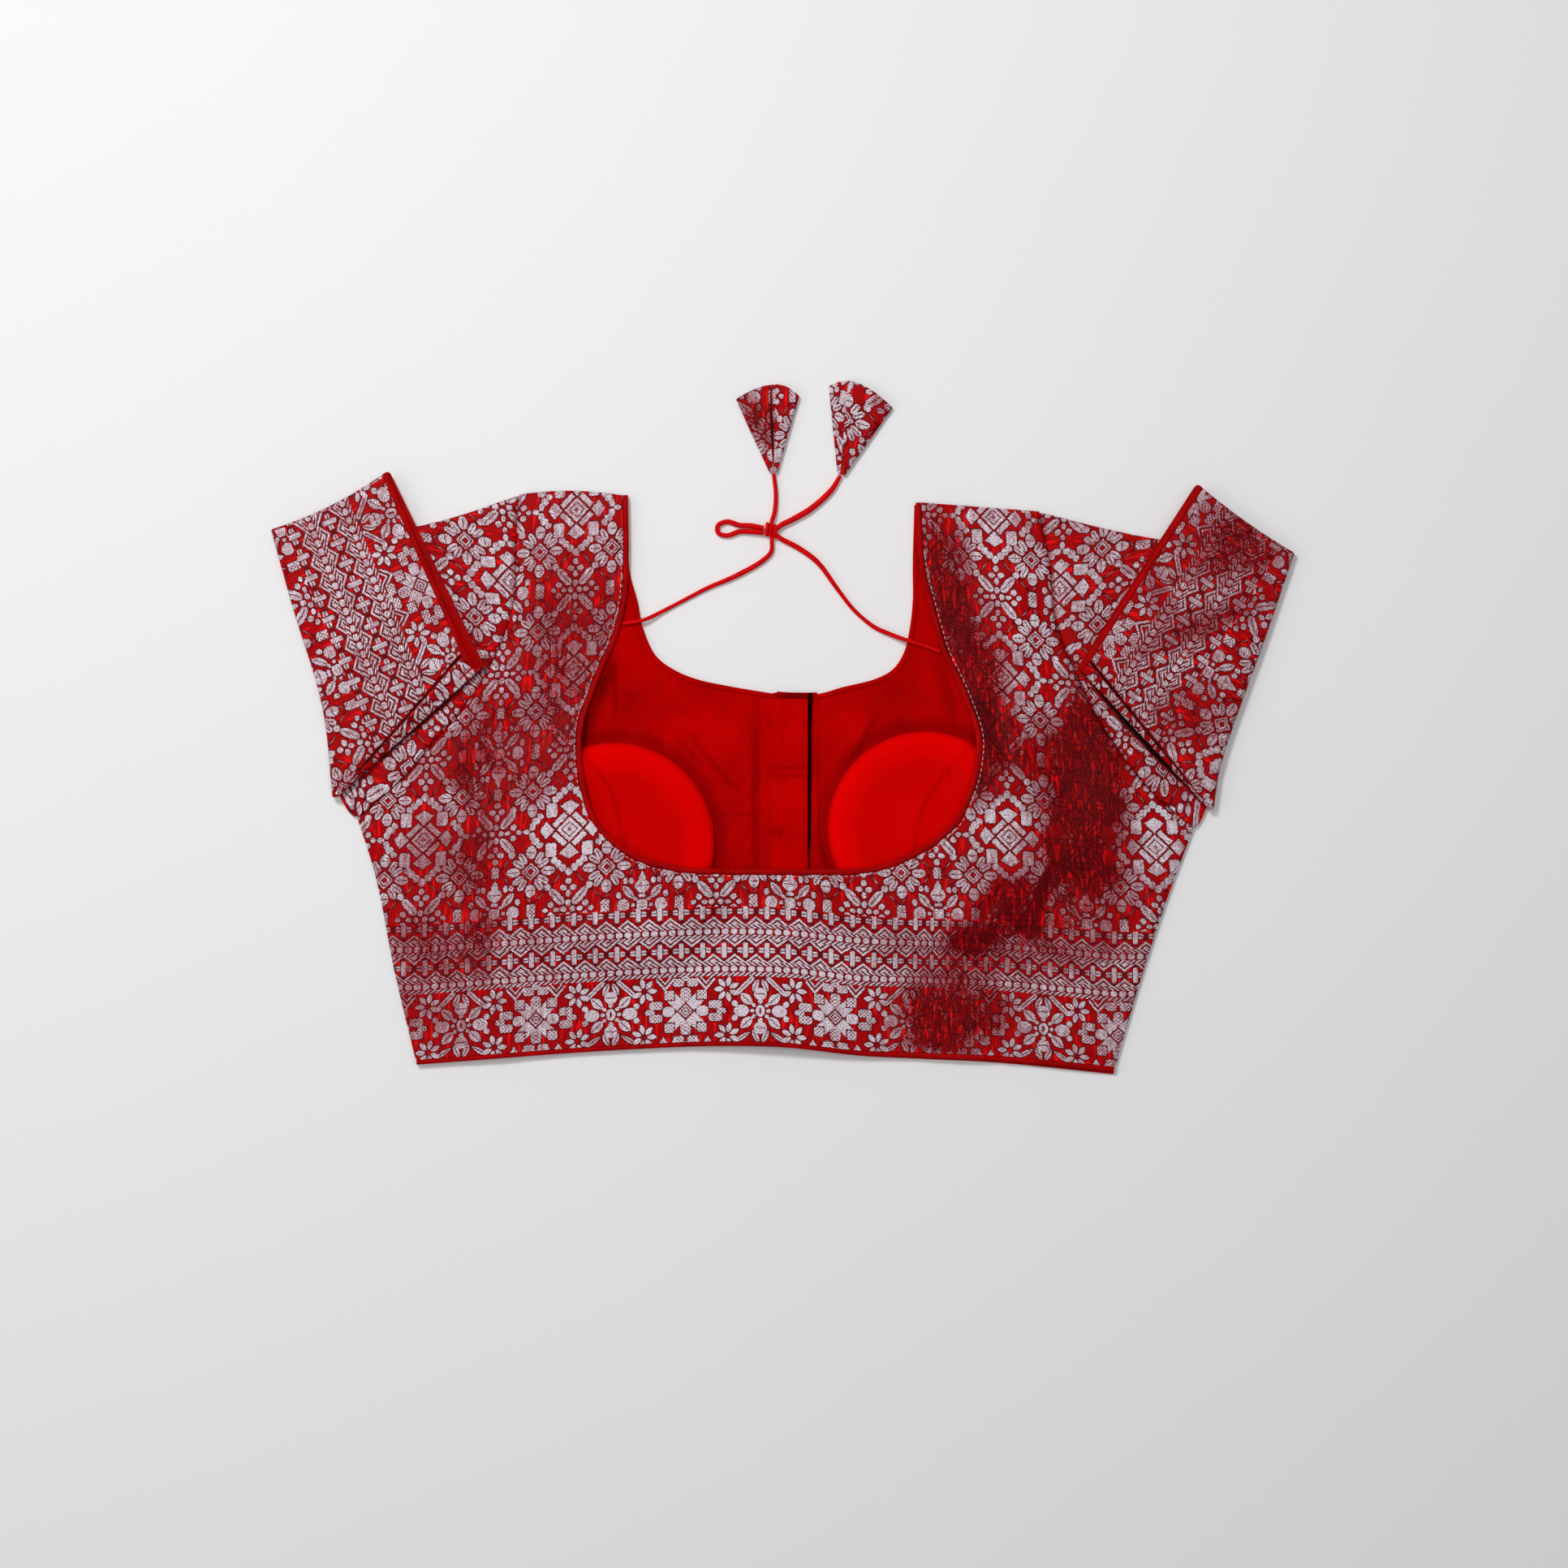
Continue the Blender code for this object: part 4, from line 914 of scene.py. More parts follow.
# %% The back's outline
CLOTH = 1.2
SEWN = 0.1
LINING_LOW = 1.5
LINING_TOP = 2.5
BACK_LOW = 2.8
SEAM_LOW = 1.3
HEM_BINDING, NECK_BINDING, FRONT_BINDING, SLEEVE_BINDING = 3.0, 3.6, 3.0, 3.5
STEPS = 12
BACK_ROWS = 54
SHOULDER_CROWN = 2.5
NOT_SEWN = 1000.0
SEAM_BEND, SIDE_FADE = 4.5, 22.0
LIFT_SHARES = ([5 / 7, 6 / 7, 1.0], [1.0, 0.6, 0.0])
Section = namedtuple("Section", "name neck_x neck_y edge_x edge_y")
BACK_SECTIONS = [
    Section("left shoulder", -98.5, 171.0, -162.0, 171.5),
    Section("left strap", -98.0, 133.0, -164.0, 140.0),
    Section("left strap end", -99.5, 105.0, -164.5, 110.0),
    Section("left string", -107.0, 79.0, -172.5, 81.0),
    Section("left armhole 1", -112.0, 68.5, -186.0, 55.0),
    Section("left armhole 2", -120.5, 47.0, -199.5, 36.0),
    Section("left armhole 3", -125.5, 31.0, -211.5, 22.5),
    Section("left armhole 4", -126.5, 9.0, -234.0, -4.0),
    Section("left armpit", -123.5, -11.0, -261.5, -28.0),
    Section("left side 1", -119.0, -26.0, -250.5, -63.0),
    Section("left side 2", -106.5, -42.0, -238.5, -123.0),
    Section("left hem corner", -88.5, -54.0, -225.0, -179.5),
    Section("hem 1", -61.5, -61.0, -140.5, -173.0),
    Section("hem 2", -39.5, -62.0, -92.5, -170.0),
    Section("hem 3", -17.0, -62.5, -45.0, -168.0),
    Section("hem middle", 1.0, -62.5, 1.0, -168.5),
    Section("hem 4", 23.0, -62.5, 46.0, -173.5),
    Section("hem 5", 45.5, -62.0, 84.0, -175.0),
    Section("hem 6", 63.5, -59.0, 134.0, -177.0),
    Section("right hem corner", 86.5, -49.0, 204.0, -183.5),
    Section("right side 2", 99.0, -40.0, 221.5, -124.0),
    Section("right side 1", 109.0, -30.0, 238.0, -74.0),
    Section("right armpit", 117.0, -12.0, 253.0, -34.0),
    Section("right armhole 4", 121.5, 6.0, 233.5, -18.0),
    Section("right armhole 3", 122.0, 24.0, 221.0, -5.0),
    Section("right armhole 2", 115.0, 46.0, 196.0, 31.0),
    Section("right armhole 1", 108.5, 61.0, 178.0, 67.0),
    Section("right string", 102.0, 74.0, 168.0, 94.0),
    Section("right strap end", 94.0, 101.0, 164.5, 128.0),
    Section("right strap", 87.5, 128.0, 161.5, 144.0),
    Section("right shoulder", 85.5, 166.5, 158.0, 161.0),
]
CORNERS = [
    "left shoulder", "left armpit", "left hem corner", "right hem corner", "right armpit", "right shoulder",
]
names = [section.name for section in BACK_SECTIONS]
neck = smooth_line([(s.neck_x, s.neck_y) for s in BACK_SECTIONS], STEPS)
edge = np.zeros((0, 2))
for first, last in zip(CORNERS, CORNERS[1:]):
    part = BACK_SECTIONS[names.index(first) : names.index(last) + 1]
    edge = np.vstack([edge[:-1], smooth_line([(s.edge_x, s.edge_y) for s in part], STEPS)])
columns = {name: i * STEPS for i, name in enumerate(names)}
hem = slice(columns["left hem corner"], columns["right hem corner"] + 1)
print("neck edge", round(line_length(neck)), "mm, hem", round(line_length(edge[hem])), "mm")

# %% How the back lies
Cup = namedtuple("Cup", "name x y radius")
CUPS = [Cup("cup_left", -103.5, -43.5, 62.0), Cup("cup_right", 88.0, -34.5, 60.0)]
CUP_REACH, CUP_LIFT = 1.55, 6.6
BAND_LIFT, BAND_REACH = 4.7, 42.0
Crease = namedtuple("Crease", "name x y to_x to_y reach height")
BACK_RIDGES = [
    Crease("left side drag", -215.0, -10.0, -150.0, -120.0, 26.0, 3.2),
    Crease("left strap swell", -140.0, 120.0, -160.0, 40.0, 20.0, 2.0),
    Crease("left hem wave", -190.0, -110.0, -178.0, -172.0, 18.0, 2.2),
    Crease("right neck swell", 140.0, 105.0, 152.0, 10.0, 20.0, 3.4),
    Crease("right side drag", 205.0, -15.0, 150.0, -85.0, 22.0, 3.6),
    Crease("right hem wave", 118.0, -105.0, 112.0, -175.0, 16.0, 2.6),
    Crease("right corner swell", 190.0, -90.0, 182.0, -160.0, 18.0, 2.2),
]
BACK_CREASES = [
    Crease("left pressed fold", -177.0, -183.0, -176.0, 30.0, 2.6, -1.1),
    Crease("beside left fold", -171.0, -183.0, -171.5, -60.0, 4.5, 0.8),
    Crease("right pressed fold", 134.0, -184.0, 132.0, -96.0, 2.2, -1.2),
    Crease("beside right fold", 139.0, -184.0, 138.0, -130.0, 4.0, 0.9),
    Crease("middle pressed fold", 60.5, -181.0, 60.0, -96.0, 2.0, -0.9),
    Crease("right slant", 142.0, -62.0, 108.0, -106.0, 3.2, -1.6),
    Crease("over right slant", 136.0, -58.0, 100.0, -104.0, 7.0, 1.5),
    Crease("left armpit pull", -262.0, -60.0, -232.0, -70.0, 3.0, -1.0),
    Crease("left side pull", -256.0, -84.0, -214.0, -92.0, 4.0, 0.8),
    Crease("right armpit pull", 256.0, -64.0, 226.0, -72.0, 3.0, -1.0),
    Crease("right side pull", 244.0, -90.0, 206.0, -80.0, 4.5, 0.9),
    Crease("left neck drag", -124.0, 20.0, -196.0, 6.0, 6.0, 0.8),
    Crease("under left neck", -92.0, -66.0, -128.0, -120.0, 8.0, 0.9),
    Crease("right neck drag", 124.0, 30.0, 160.0, -28.0, 7.0, -1.3),
    Crease("beside right drag", 134.0, 40.0, 176.0, -36.0, 6.0, 1.3),
    Crease("right strap fold", 118.0, 90.0, 136.0, 20.0, 5.0, -1.2),
    Crease("left strap fold", -118.0, 140.0, -150.0, 76.0, 6.0, -0.8),
    Crease("hem dip", 92.0, -176.0, 96.0, -130.0, 7.0, 1.0),
]


def one_crease(x, y, crease):
    """How far along a crease's line each place is, from 0 to 1, and the height of a soft ridge over it."""
    start = np.array([crease.x, crease.y])
    run = np.array([crease.to_x, crease.to_y]) - start
    near = np.clip(((x - start[0]) * run[0] + (y - start[1]) * run[1]) / (run @ run), 0.0, 1.0)
    away = np.hypot(x - start[0] - near * run[0], y - start[1] - near * run[1])
    return near, crease.height * np.exp(-((away / crease.reach) ** 2))


def crease_height(x, y, creases):
    """The sum of soft ridges and troughs along straight lines, each fading out towards its ends."""
    total = np.zeros(np.shape(x))
    for crease in creases:
        near, height = one_crease(x, y, crease)
        total = total + height * (1 - np.abs(2 * near - 1) ** 3)
    return total


def lay_height(x, y):
    """Height of the back's underside over the lining, cups and closing, with its largest folds."""
    lifts = [BAND_LIFT * np.exp(-(((x - 1.0) / BAND_REACH) ** 2)) * smoothstep((60.0 - y) / 90.0)]
    for cup in CUPS:
        away = np.hypot(x - cup.x, y - cup.y) / cup.radius
        lifts.append(CUP_LIFT * smoothstep((CUP_REACH - away) / (CUP_REACH - 0.93)))
    lift = sum(value**4 for value in lifts) ** 0.25
    for ridge in BACK_RIDGES:
        near, height = one_crease(x, y, ridge)
        lift = lift + height * (1 - 0.35 * near)
    return lift


# %% Where the loom's pattern falls on the blouse
hem_line = edge[hem]


def body_places(x, y):
    """Places on the cloth for points of the back and fronts: across the cloth, and up from the hem.

    A repeat is 89.9 mm wide near the hem and 4.6 mm less 202 mm higher up, where the cloth is taken in.
    """
    above = y - np.interp(x, hem_line[:, 0], hem_line[:, 1])
    pitch = 89.9 - (y + 40.0) * 4.6 / 202.0
    middle = 4.25 - (y + 40.0) * 0.0136
    field = np.stack([132.0 + (x - middle) * FIELD_WIDE / pitch, above - 138.0], axis=-1)
    run = x + 13.5 + 10.0 * smoothstep((x - 75.0) / 40.0)
    border = np.stack([run, above - 22.0], axis=-1)
    return {"field": field, "border": border}


# %% [markdown]
# The satin looks bright where it faces the lamp and nearly black where it turns away, and the silver weft
# fades with it. These patches follow what the cloth shows at each place and paint that light and shade on,
# as a tone for the brocade from 0, turned away, to 1, bright. On the plain cloths the tone is painted shade
# and light as well: a tone of 0 leaves their red as it is, and less darkens it.

# %% Painted light and shade of the satin
Patch = namedtuple("Patch", "name x y wide high turn change")
BACK_PAINTED_LIGHTING = [
    Patch("left of neck", -126.0, 80.0, 36.0, 56.0, 8, -0.34),
    Patch("left bodice", -156.0, 14.0, 46.0, 50.0, 0, -0.34),
    Patch("left dart", -188.0, -46.0, 14.0, 70.0, 0, -0.25),
    Patch("left waist", -208.0, -52.0, 30.0, 26.0, 0, -0.26),
    Patch("left bands", -210.0, -106.0, 40.0, 24.0, 0, -0.34),
    Patch("left hem", -218.0, -150.0, 24.0, 22.0, 0, -0.24),
    Patch("left armhole", -208.0, 8.0, 26.0, 20.0, 30, -0.22),
    Patch("left shoulder", -192.0, 130.0, 26.0, 40.0, 20, 0.2),
    Patch("left under neck", -134.0, -26.0, 30.0, 26.0, 0, 0.26),
    Patch("middle border", -30.0, -128.0, 110.0, 46.0, 0, 0.22),
    Patch("neck edge top", 100.0, 126.0, 17.0, 44.0, 8, -0.5),
    Patch("neck edge middle", 114.0, 62.0, 29.0, 52.0, 14, -0.6),
    Patch("neck edge low", 122.0, 14.0, 30.0, 30.0, 0, -0.54),
    Patch("right armhole", 186.0, -8.0, 31.0, 62.0, 0, -0.74),
    Patch("right waist", 172.0, -76.0, 54.0, 36.0, 0, -0.36),
    Patch("right slant", 128.0, -90.0, 34.0, 16.0, 40, -0.4),
    Patch("right hem", 102.0, -150.0, 38.0, 28.0, 0, -0.64),
    Patch("right bands", 130.0, -110.0, 66.0, 18.0, 0, -0.26),
    Patch("right drag", 159.0, -76.0, 2.2, 22.0, -14, -1.0),
    Patch("right star", 138.0, -34.0, 22.0, 20.0, 0, 0.1),
    Patch("right strap", 146.0, 96.0, 26.0, 60.0, 10, 0.1),
    Patch("right side star", 226.0, -36.0, 18.0, 26.0, 0, 0.16),
    Patch("right shoulder", 168.0, 146.0, 20.0, 10.0, -20, -0.3),
]


def painted_lighting_at(x, y, patches, base, seed=3.0, lowest=-0.12):
    """Painted light and shade at each place: a base with soft noise, changed by the patches that reach it,
    down to lowest.
    """
    tone = base + 0.1 * ripple(x, y, 26.0, seed) + 0.08 * ripple(x, y, 9.0, seed + 7.0)
    for patch in patches:
        turn = math.radians(patch.turn)
        off_x, off_y = x - patch.x, y - patch.y
        own_x = (off_x * math.cos(turn) + off_y * math.sin(turn)) / patch.wide
        own_y = (off_y * math.cos(turn) - off_x * math.sin(turn)) / patch.high
        away = np.hypot(own_x, own_y) + 0.32 * ripple(x, y, 16.0, seed + 11.0)
        tone = tone + patch.change * smoothstep((1.4 - away) / 1.05)
    return np.clip(tone, lowest, 1.0)


# %% The back shell
inward = sideways(neck, edge)
start = neck + inward * SEWN
finish_line = edge.copy()
finish_line[hem, 1] += HEM_BINDING + SEWN
shares = np.linspace(0.0, 1.0, BACK_ROWS)
flat = start[None] + shares[:, None, None] * (finish_line - start)[None]
for step in range(STEPS // 2):
    fade = 1 - step / (STEPS / 2)
    flat[:, step, 1] += SHOULDER_CROWN * np.sin(math.pi * shares) * fade
span = np.linalg.norm(finish_line - start, axis=1)
from_seam = (1 - shares[:, None]) * span[None]
from_seam[:, hem] = NOT_SEWN
from_left = np.linalg.norm(flat - flat[:, :1], axis=2)
from_right = np.linalg.norm(flat - flat[:, -1:], axis=2)
from_seam = np.minimum(from_seam, np.minimum(from_left, from_right))
seam_share = np.interp(shares, *LIFT_SHARES)[:, None] * np.ones(len(neck))
seam_share[:, hem] = 1.0
side_fade = smoothstep(np.minimum(from_left, from_right) / SIDE_FADE)
x, y = flat[..., 0], flat[..., 1]
bend = np.sqrt(np.clip(1 - (1 - np.clip(from_seam / SEAM_BEND, 0.0, 1.0)) ** 2, 0.0, 1.0))
relief = crease_height(x, y, BACK_CREASES) + 0.35 * ripple(x, y, 34.0) + 0.18 * ripple(x, y, 12.0, 5.0)
height = BACK_LOW + lay_height(x, y) * seam_share * side_fade
height = np.maximum(height + (relief + 0.35) * bend, BACK_LOW) - (BACK_LOW - SEAM_LOW) * (1 - bend)
low = np.dstack([flat, height + 0.2])
high = np.dstack([flat, height + CLOTH])
# The back's painted light and shade: bright where it faces the lamp, dark where it turns away.
tone = painted_lighting_at(x, y, BACK_PAINTED_LIGHTING, 0.7)
back_piece = grid_shell("back_brocade", low, high, brocade, maps=body_places(x, y), tone=tone)
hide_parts("back_panel")
print(len(back_piece.data.polygons), "faces")

# %% [markdown]
# ## Bindings
#
# A bias strip of satin is folded over each raw edge and stitched down. It rounds up a little higher than
# the cloth and puckers slightly between stitches, so its section is a flattened circle whose size wavers
# along its length.

# %% Binding strips
def binding(name, line, heights, width, depth, node_name, finish, pucker=0.05):
    """A folded strip with a rounded section, along a line at these heights of its underside.

    pucker is how much of its size it gains and loses between stitches.
    """
    sides = 14
    across = sideways(line, line.mean(axis=0))
    run = np.concatenate([[0.0], np.cumsum(np.linalg.norm(np.diff(line, axis=0), axis=1))])
    waver = 1 + pucker * np.sin(run * math.tau / 3.1) + 0.04 * ripple(run, run * 0, 9.0, 2.0)
    rings = []
    for i in range(sides):
        turn = math.tau * i / sides
        out = across * (width / 2 * math.cos(turn) * (0.5 + 0.5 * waver))[:, None]
        up = heights + depth / 2 + depth / 2 * math.sin(turn) * waver
        rings.append(np.column_stack([line + out, up]))
    grid = np.array(rings).transpose(1, 0, 2)
    count = len(line)
    points = grid.reshape(-1, 3)
    ends = [list(range(sides)), [(count - 1) * sides + i for i in reversed(range(sides))]]
    piece = make_piece(name, points, ends + ring_faces(0, count, sides), finish)
    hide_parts(node_name)
    return piece


def even_shares(line, step):
    """Shares of a line's length for points about this far apart."""
    return np.linspace(0.0, 1.0, int(line_length(line) / step) + 1)


neck_middle = neck - inward * NECK_BINDING / 2
neck_run = along(np.column_stack([neck_middle, height[0] - 0.1]), even_shares(neck_middle, 1.0))
neck_binding = binding(
    "neck_binding", neck_run[:, :2], neck_run[:, 2], NECK_BINDING - 0.2, CLOTH + 0.6,
    "neck_piping_back", satin,
)
hem_middle = edge[hem] + np.array([0.0, HEM_BINDING / 2])
hem_run = along(np.column_stack([hem_middle, height[-1, hem] - 0.1]), even_shares(hem_middle, 1.0))
hem_binding = binding(
    "hem_binding", hem_run[:, :2], hem_run[:, 2], HEM_BINDING - 0.1, CLOTH + 0.5, "hem_piping_back", satin,
)

# %% [markdown]
# White topstitching runs round the neck just outside the binding. Each stitch is a short thread that dips
# into the cloth at both ends.

# %% Topstitching round the neck
STITCH, STITCH_GAP, STITCH_OUT, THREAD = 2.3, 1.3, 1.0, 0.42
STITCH_RISE = (-0.25, 0.05, 0.12, 0.05, -0.25)
THREAD_SIDES = 6


def stitches(name, line):
    """Short threads along a line of points in space."""
    count = int(line_length(line) / (STITCH + STITCH_GAP))
    whole = line_length(line)
    points, faces = [], []
    for i in range(count):
        ends = (i * (STITCH + STITCH_GAP) + np.linspace(0.0, STITCH, 5)) / whole
        middle = along(line, ends)
        ahead = (middle[-1] - middle[0]) / np.linalg.norm(middle[-1] - middle[0])
        aside = np.array([-ahead[1], ahead[0], 0.0])
        first = len(points)
        for k, rise in enumerate(STITCH_RISE):
            width = THREAD / 2 * (0.6 if k in (0, 4) else 1.0)
            for side in range(THREAD_SIDES):
                turn = math.tau * side / THREAD_SIDES
                up = np.array([0.0, 0.0, rise + width * math.sin(turn)])
                points.append(middle[k] + aside * width * math.cos(turn) + up)
        for start in range(first, first + 4 * THREAD_SIDES, THREAD_SIDES):
            for side in range(THREAD_SIDES):
                a, b = start + side, start + (side + 1) % THREAD_SIDES
                faces.append([a, b, b + THREAD_SIDES, a + THREAD_SIDES])
        last = first + 4 * THREAD_SIDES
        faces.append([first + side for side in reversed(range(THREAD_SIDES))])
        faces.append([last + side for side in range(THREAD_SIDES)])
    return make_piece(name, points, faces, thread_finish)


on_back = neck + inward * STITCH_OUT
lie = np.array([np.interp(STITCH_OUT / span[i], shares, height[:, i]) for i in range(len(neck))])
neck_stitches = stitches("neck_topstitching", np.column_stack([on_back, lie + CLOTH + 0.05])[8:-8])
print(len(neck_stitches.data.polygons), "faces of stitching")

# %% [markdown]
# ## Fronts and lining
#
# The two fronts lie face down on the surface, so from above only their lining shows, through the neck. Both
# are cut from the same outline. The lining ends 5 mm short of the seams, where the back bends down, and it
# carries the soft drag lines that show beside the cups, raised a little and darkened with painted shade.

# %% The fronts' outlines
Point = namedtuple("Point", "x y")
FRONT_NECK_LEFT = [
    Point(-96.5, 168.0), Point(-94.0, 123.0), Point(-89.5, 106.0), Point(-86.0, 89.0), Point(-78.0, 72.0),
    Point(-67.0, 63.5), Point(-52.5, 57.5), Point(-31.5, 53.0), Point(-4.5, 48.5),
]
FRONT_NECK_RIGHT = [
    Point(81.5, 165.0), Point(80.5, 128.0), Point(80.5, 106.0), Point(78.5, 88.0), Point(75.0, 74.0),
    Point(68.5, 64.0), Point(58.0, 58.0), Point(36.5, 52.5), Point(21.5, 48.5), Point(-3.5, 50.0),
]
FRONT_LEFT_END, FRONT_RIGHT_START, FRONT_HEM_PEEK = -4.3, -4.0, 2.0
LINING_INSET, LINING_THICK = 5.0, 0.8
FRONT_SPACING, LINING_SPACING, BINDING_STEP = 5.0, 2.2, 1.2
FRONT_CREASES = [
    Crease("left front fold", -120.0, -170.0, -128.0, -20.0, 5.0, 0.35),
    Crease("left front drag", -210.0, -20.0, -140.0, -100.0, 7.0, 0.3),
    Crease("left strap fold", -128.0, 150.0, -150.0, 70.0, 5.0, 0.3),
    Crease("right front fold", 112.0, -172.0, 120.0, -40.0, 5.5, 0.35),
    Crease("right front drag", 212.0, -30.0, 140.0, -110.0, 7.0, 0.3),
    Crease("right strap fold", 120.0, 140.0, 134.0, 50.0, 5.0, 0.3),
]
LINING_CREASES = [
    Crease("left drag", -64.0, 33.0, -30.0, -12.0, 3.2, 1.3),
    Crease("beside left drag", -56.0, 33.0, -25.0, -6.0, 4.0, 0.8),
    Crease("left long drag", -46.0, 40.0, -26.0, -60.0, 5.0, 0.7),
    Crease("under left neck", -84.0, 50.0, -30.0, 36.0, 5.0, 0.6),
    Crease("right drag", 56.0, 38.0, 40.0, -2.0, 3.4, 1.2),
    Crease("right long drag", 48.0, 40.0, 31.0, -50.0, 4.5, 0.8),
    Crease("under right neck", 30.0, 42.0, 78.0, 50.0, 5.0, 0.6),
    Crease("by the closing", -20.0, 38.0, -19.0, -60.0, 2.6, 0.8),
    Crease("right of closing", 25.0, 40.0, 24.0, -60.0, 2.2, 0.6),
]
# Painted light and shade on the lining: shadows by the neck edges, darker tops, lighter middles and dark drag
# lines.
LINING_SHADES = [
    Patch("by left neck edge", -116.0, 42.0, 6.0, 30.0, -22, -0.5),
    Patch("by right neck edge", 100.0, 54.0, 5.0, 30.0, 14, -0.25),
    Patch("left top", -92.0, 58.0, 24.0, 26.0, 0, -0.1),
    Patch("right top", 72.0, 66.0, 20.0, 26.0, 0, -0.14),
    Patch("left middle", -44.0, 24.0, 22.0, 16.0, 0, 0.1),
    Patch("right middle", 34.0, 22.0, 16.0, 20.0, 0, 0.06),
    Patch("left drag", -46.0, 10.0, 2.2, 22.0, 41, -0.26),
    Patch("beside left drag", -58.0, 14.0, 2.4, 16.0, 46, -0.2),
    Patch("long left drag", -103.0, 48.0, 1.8, 16.0, 0, -0.26),
    Patch("right drag", 50.0, 22.0, 2.0, 20.0, -28, -0.2),
    Patch("low left press", -26.0, -25.5, 9.0, 1.4, 0, -0.16),
    Patch("low right press", 25.0, -50.0, 1.8, 9.0, 12, -0.24),
    Patch("left of the band", -17.0, -10.0, 2.2, 60.0, 0, -0.24),
    Patch("right of the band", 18.0, -8.0, 4.0, 62.0, 0, -0.34),
]


def lining_painted_shade(x, y):
    """Painted light and shade on the lining: soft drags and hollows, darkest round each cup, whose edge lifts
    the cloth beside it.
    """
    tone = painted_lighting_at(x, y, LINING_SHADES, 0.0, 15.0, -0.9)
    for cup in CUPS:
        beyond = np.hypot(x - cup.x, y - cup.y) - cup.radius
        tone = tone - 0.3 * np.exp(-(((beyond - 4.0) / 4.5) ** 2))
    return tone


def front_painted_lighting(x, y):
    """The fronts' outside faces down, so its painted light is even."""
    return painted_lighting_at(x, y, [], 0.8, 21.0)


def front_low(x, y):
    """The fronts lie on the surface but for a few faint folds."""
    return np.clip(crease_height(x, y, FRONT_CREASES), 0.0, 0.3)


def lining_low(x, y):
    """Height of the lining, which rises in soft drags where no cup or band lies on it."""
    free = 1.0
    for cup in CUPS:
        free = free * smoothstep((np.hypot(x - cup.x, y - cup.y) - cup.radius) / 8.0)
    free = free * np.where(x < 4.0, smoothstep((-15.0 - x) / 5.0), smoothstep((x - 22.0) / 4.0))
    under_back = smoothstep((y + 66.0) / 14.0)
    rise = crease_height(x, y, LINING_CREASES) + 0.35 + 0.35 * ripple(x, y, 22.0, 9.0)
    return LINING_LOW + np.clip(rise, 0.0, 2.0) * free * (0.2 + 0.8 * under_back)


def build_front(side, neck_rows):
    """One front, its lining, and the bindings on its neck and hem."""
    left = side == "left"
    middle, shoulder = columns["hem middle"], columns[f"{side} shoulder"]
    closing = FRONT_LEFT_END if left else FRONT_RIGHT_START
    neck_line = smooth_line(neck_rows, STEPS)
    outline = edge[shoulder : middle + 1] if left else edge[middle : shoulder + 1][::-1]
    hem_start = abs(columns[f"{side} hem corner"] - shoulder)
    armpit = abs(columns[f"{side} armpit"] - shoulder)
    hem_edge = outline[hem_start:].copy()
    hem_edge[:, 1] -= FRONT_HEM_PEEK * np.linspace(0.0 if left else 1.0, 0.0, len(hem_edge))
    hem_edge[-1] = (closing, np.interp(closing, *hem_edge[np.argsort(hem_edge[:, 0])].T))
    inner_hem = hem_edge + np.array([0.0, FRONT_BINDING + SEWN])
    towards = np.tile([2.0 * outline[3 * STEPS // 2, 0], -60.0], (len(neck_line), 1))
    aside = sideways(neck_line, towards)
    inner_neck = neck_line + aside * (FRONT_BINDING + SEWN)
    inner_neck[-1] = (closing, inner_neck[-1, 1])
    shape = np.vstack([inner_neck[::2], inner_hem[::-1], outline[:hem_start][::-1]])
    front = cut_shell(
        f"front_brocade_{side}", shape, FRONT_SPACING, front_low, CLOTH - 0.3, brocade, front_painted_lighting,
        body_places,
    )
    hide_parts(f"front_{side}")
    to_middle = np.array([50.0 if left else -50.0, 0.0])
    gap = 3
    seams = [outline[armpit + gap : hem_start - gap], outline[: armpit - gap]]
    insets = [(seam + sideways(seam, seam + to_middle) * LINING_INSET)[::-1] for seam in seams]
    whole = np.vstack([inner_neck[::2], inner_hem[gap:][::-1], *insets])
    first, last = inner_neck[0], outline[0]
    top = np.interp(whole[:, 0], *np.array(sorted([tuple(first), tuple(last)])).T) - LINING_INSET
    whole = whole[whole[:, 1] < top]
    lining = cut_shell(
        f"lining_cotton_{side}", whole, LINING_SPACING, lining_low, LINING_THICK, cotton, lining_painted_shade,
    )
    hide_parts(f"lining_{side}")
    line = neck_line + aside * FRONT_BINDING / 2
    line = along(line, even_shares(line, BINDING_STEP))
    neck_piece = binding(
        f"front_neck_binding_{side}", line, np.full(len(line), 0.2), FRONT_BINDING + 0.5, LINING_TOP,
        f"neck_piping_front_{side}", cotton, 0.01,
    )
    line = hem_edge + np.array([0.0, FRONT_BINDING / 2])
    line = along(line, even_shares(line, BINDING_STEP))
    hem_piece = binding(
        f"front_hem_binding_{side}", line, np.full(len(line), 0.1), FRONT_BINDING - 0.1, LINING_TOP - 0.2,
        f"hem_piping_front_{side}", satin,
    )
    return front, lining, neck_piece, hem_piece


left_front = build_front("left", FRONT_NECK_LEFT)
right_front = build_front("right", FRONT_NECK_RIGHT)
print("fronts", [len(piece.data.polygons) for piece in left_front + right_front], "faces")
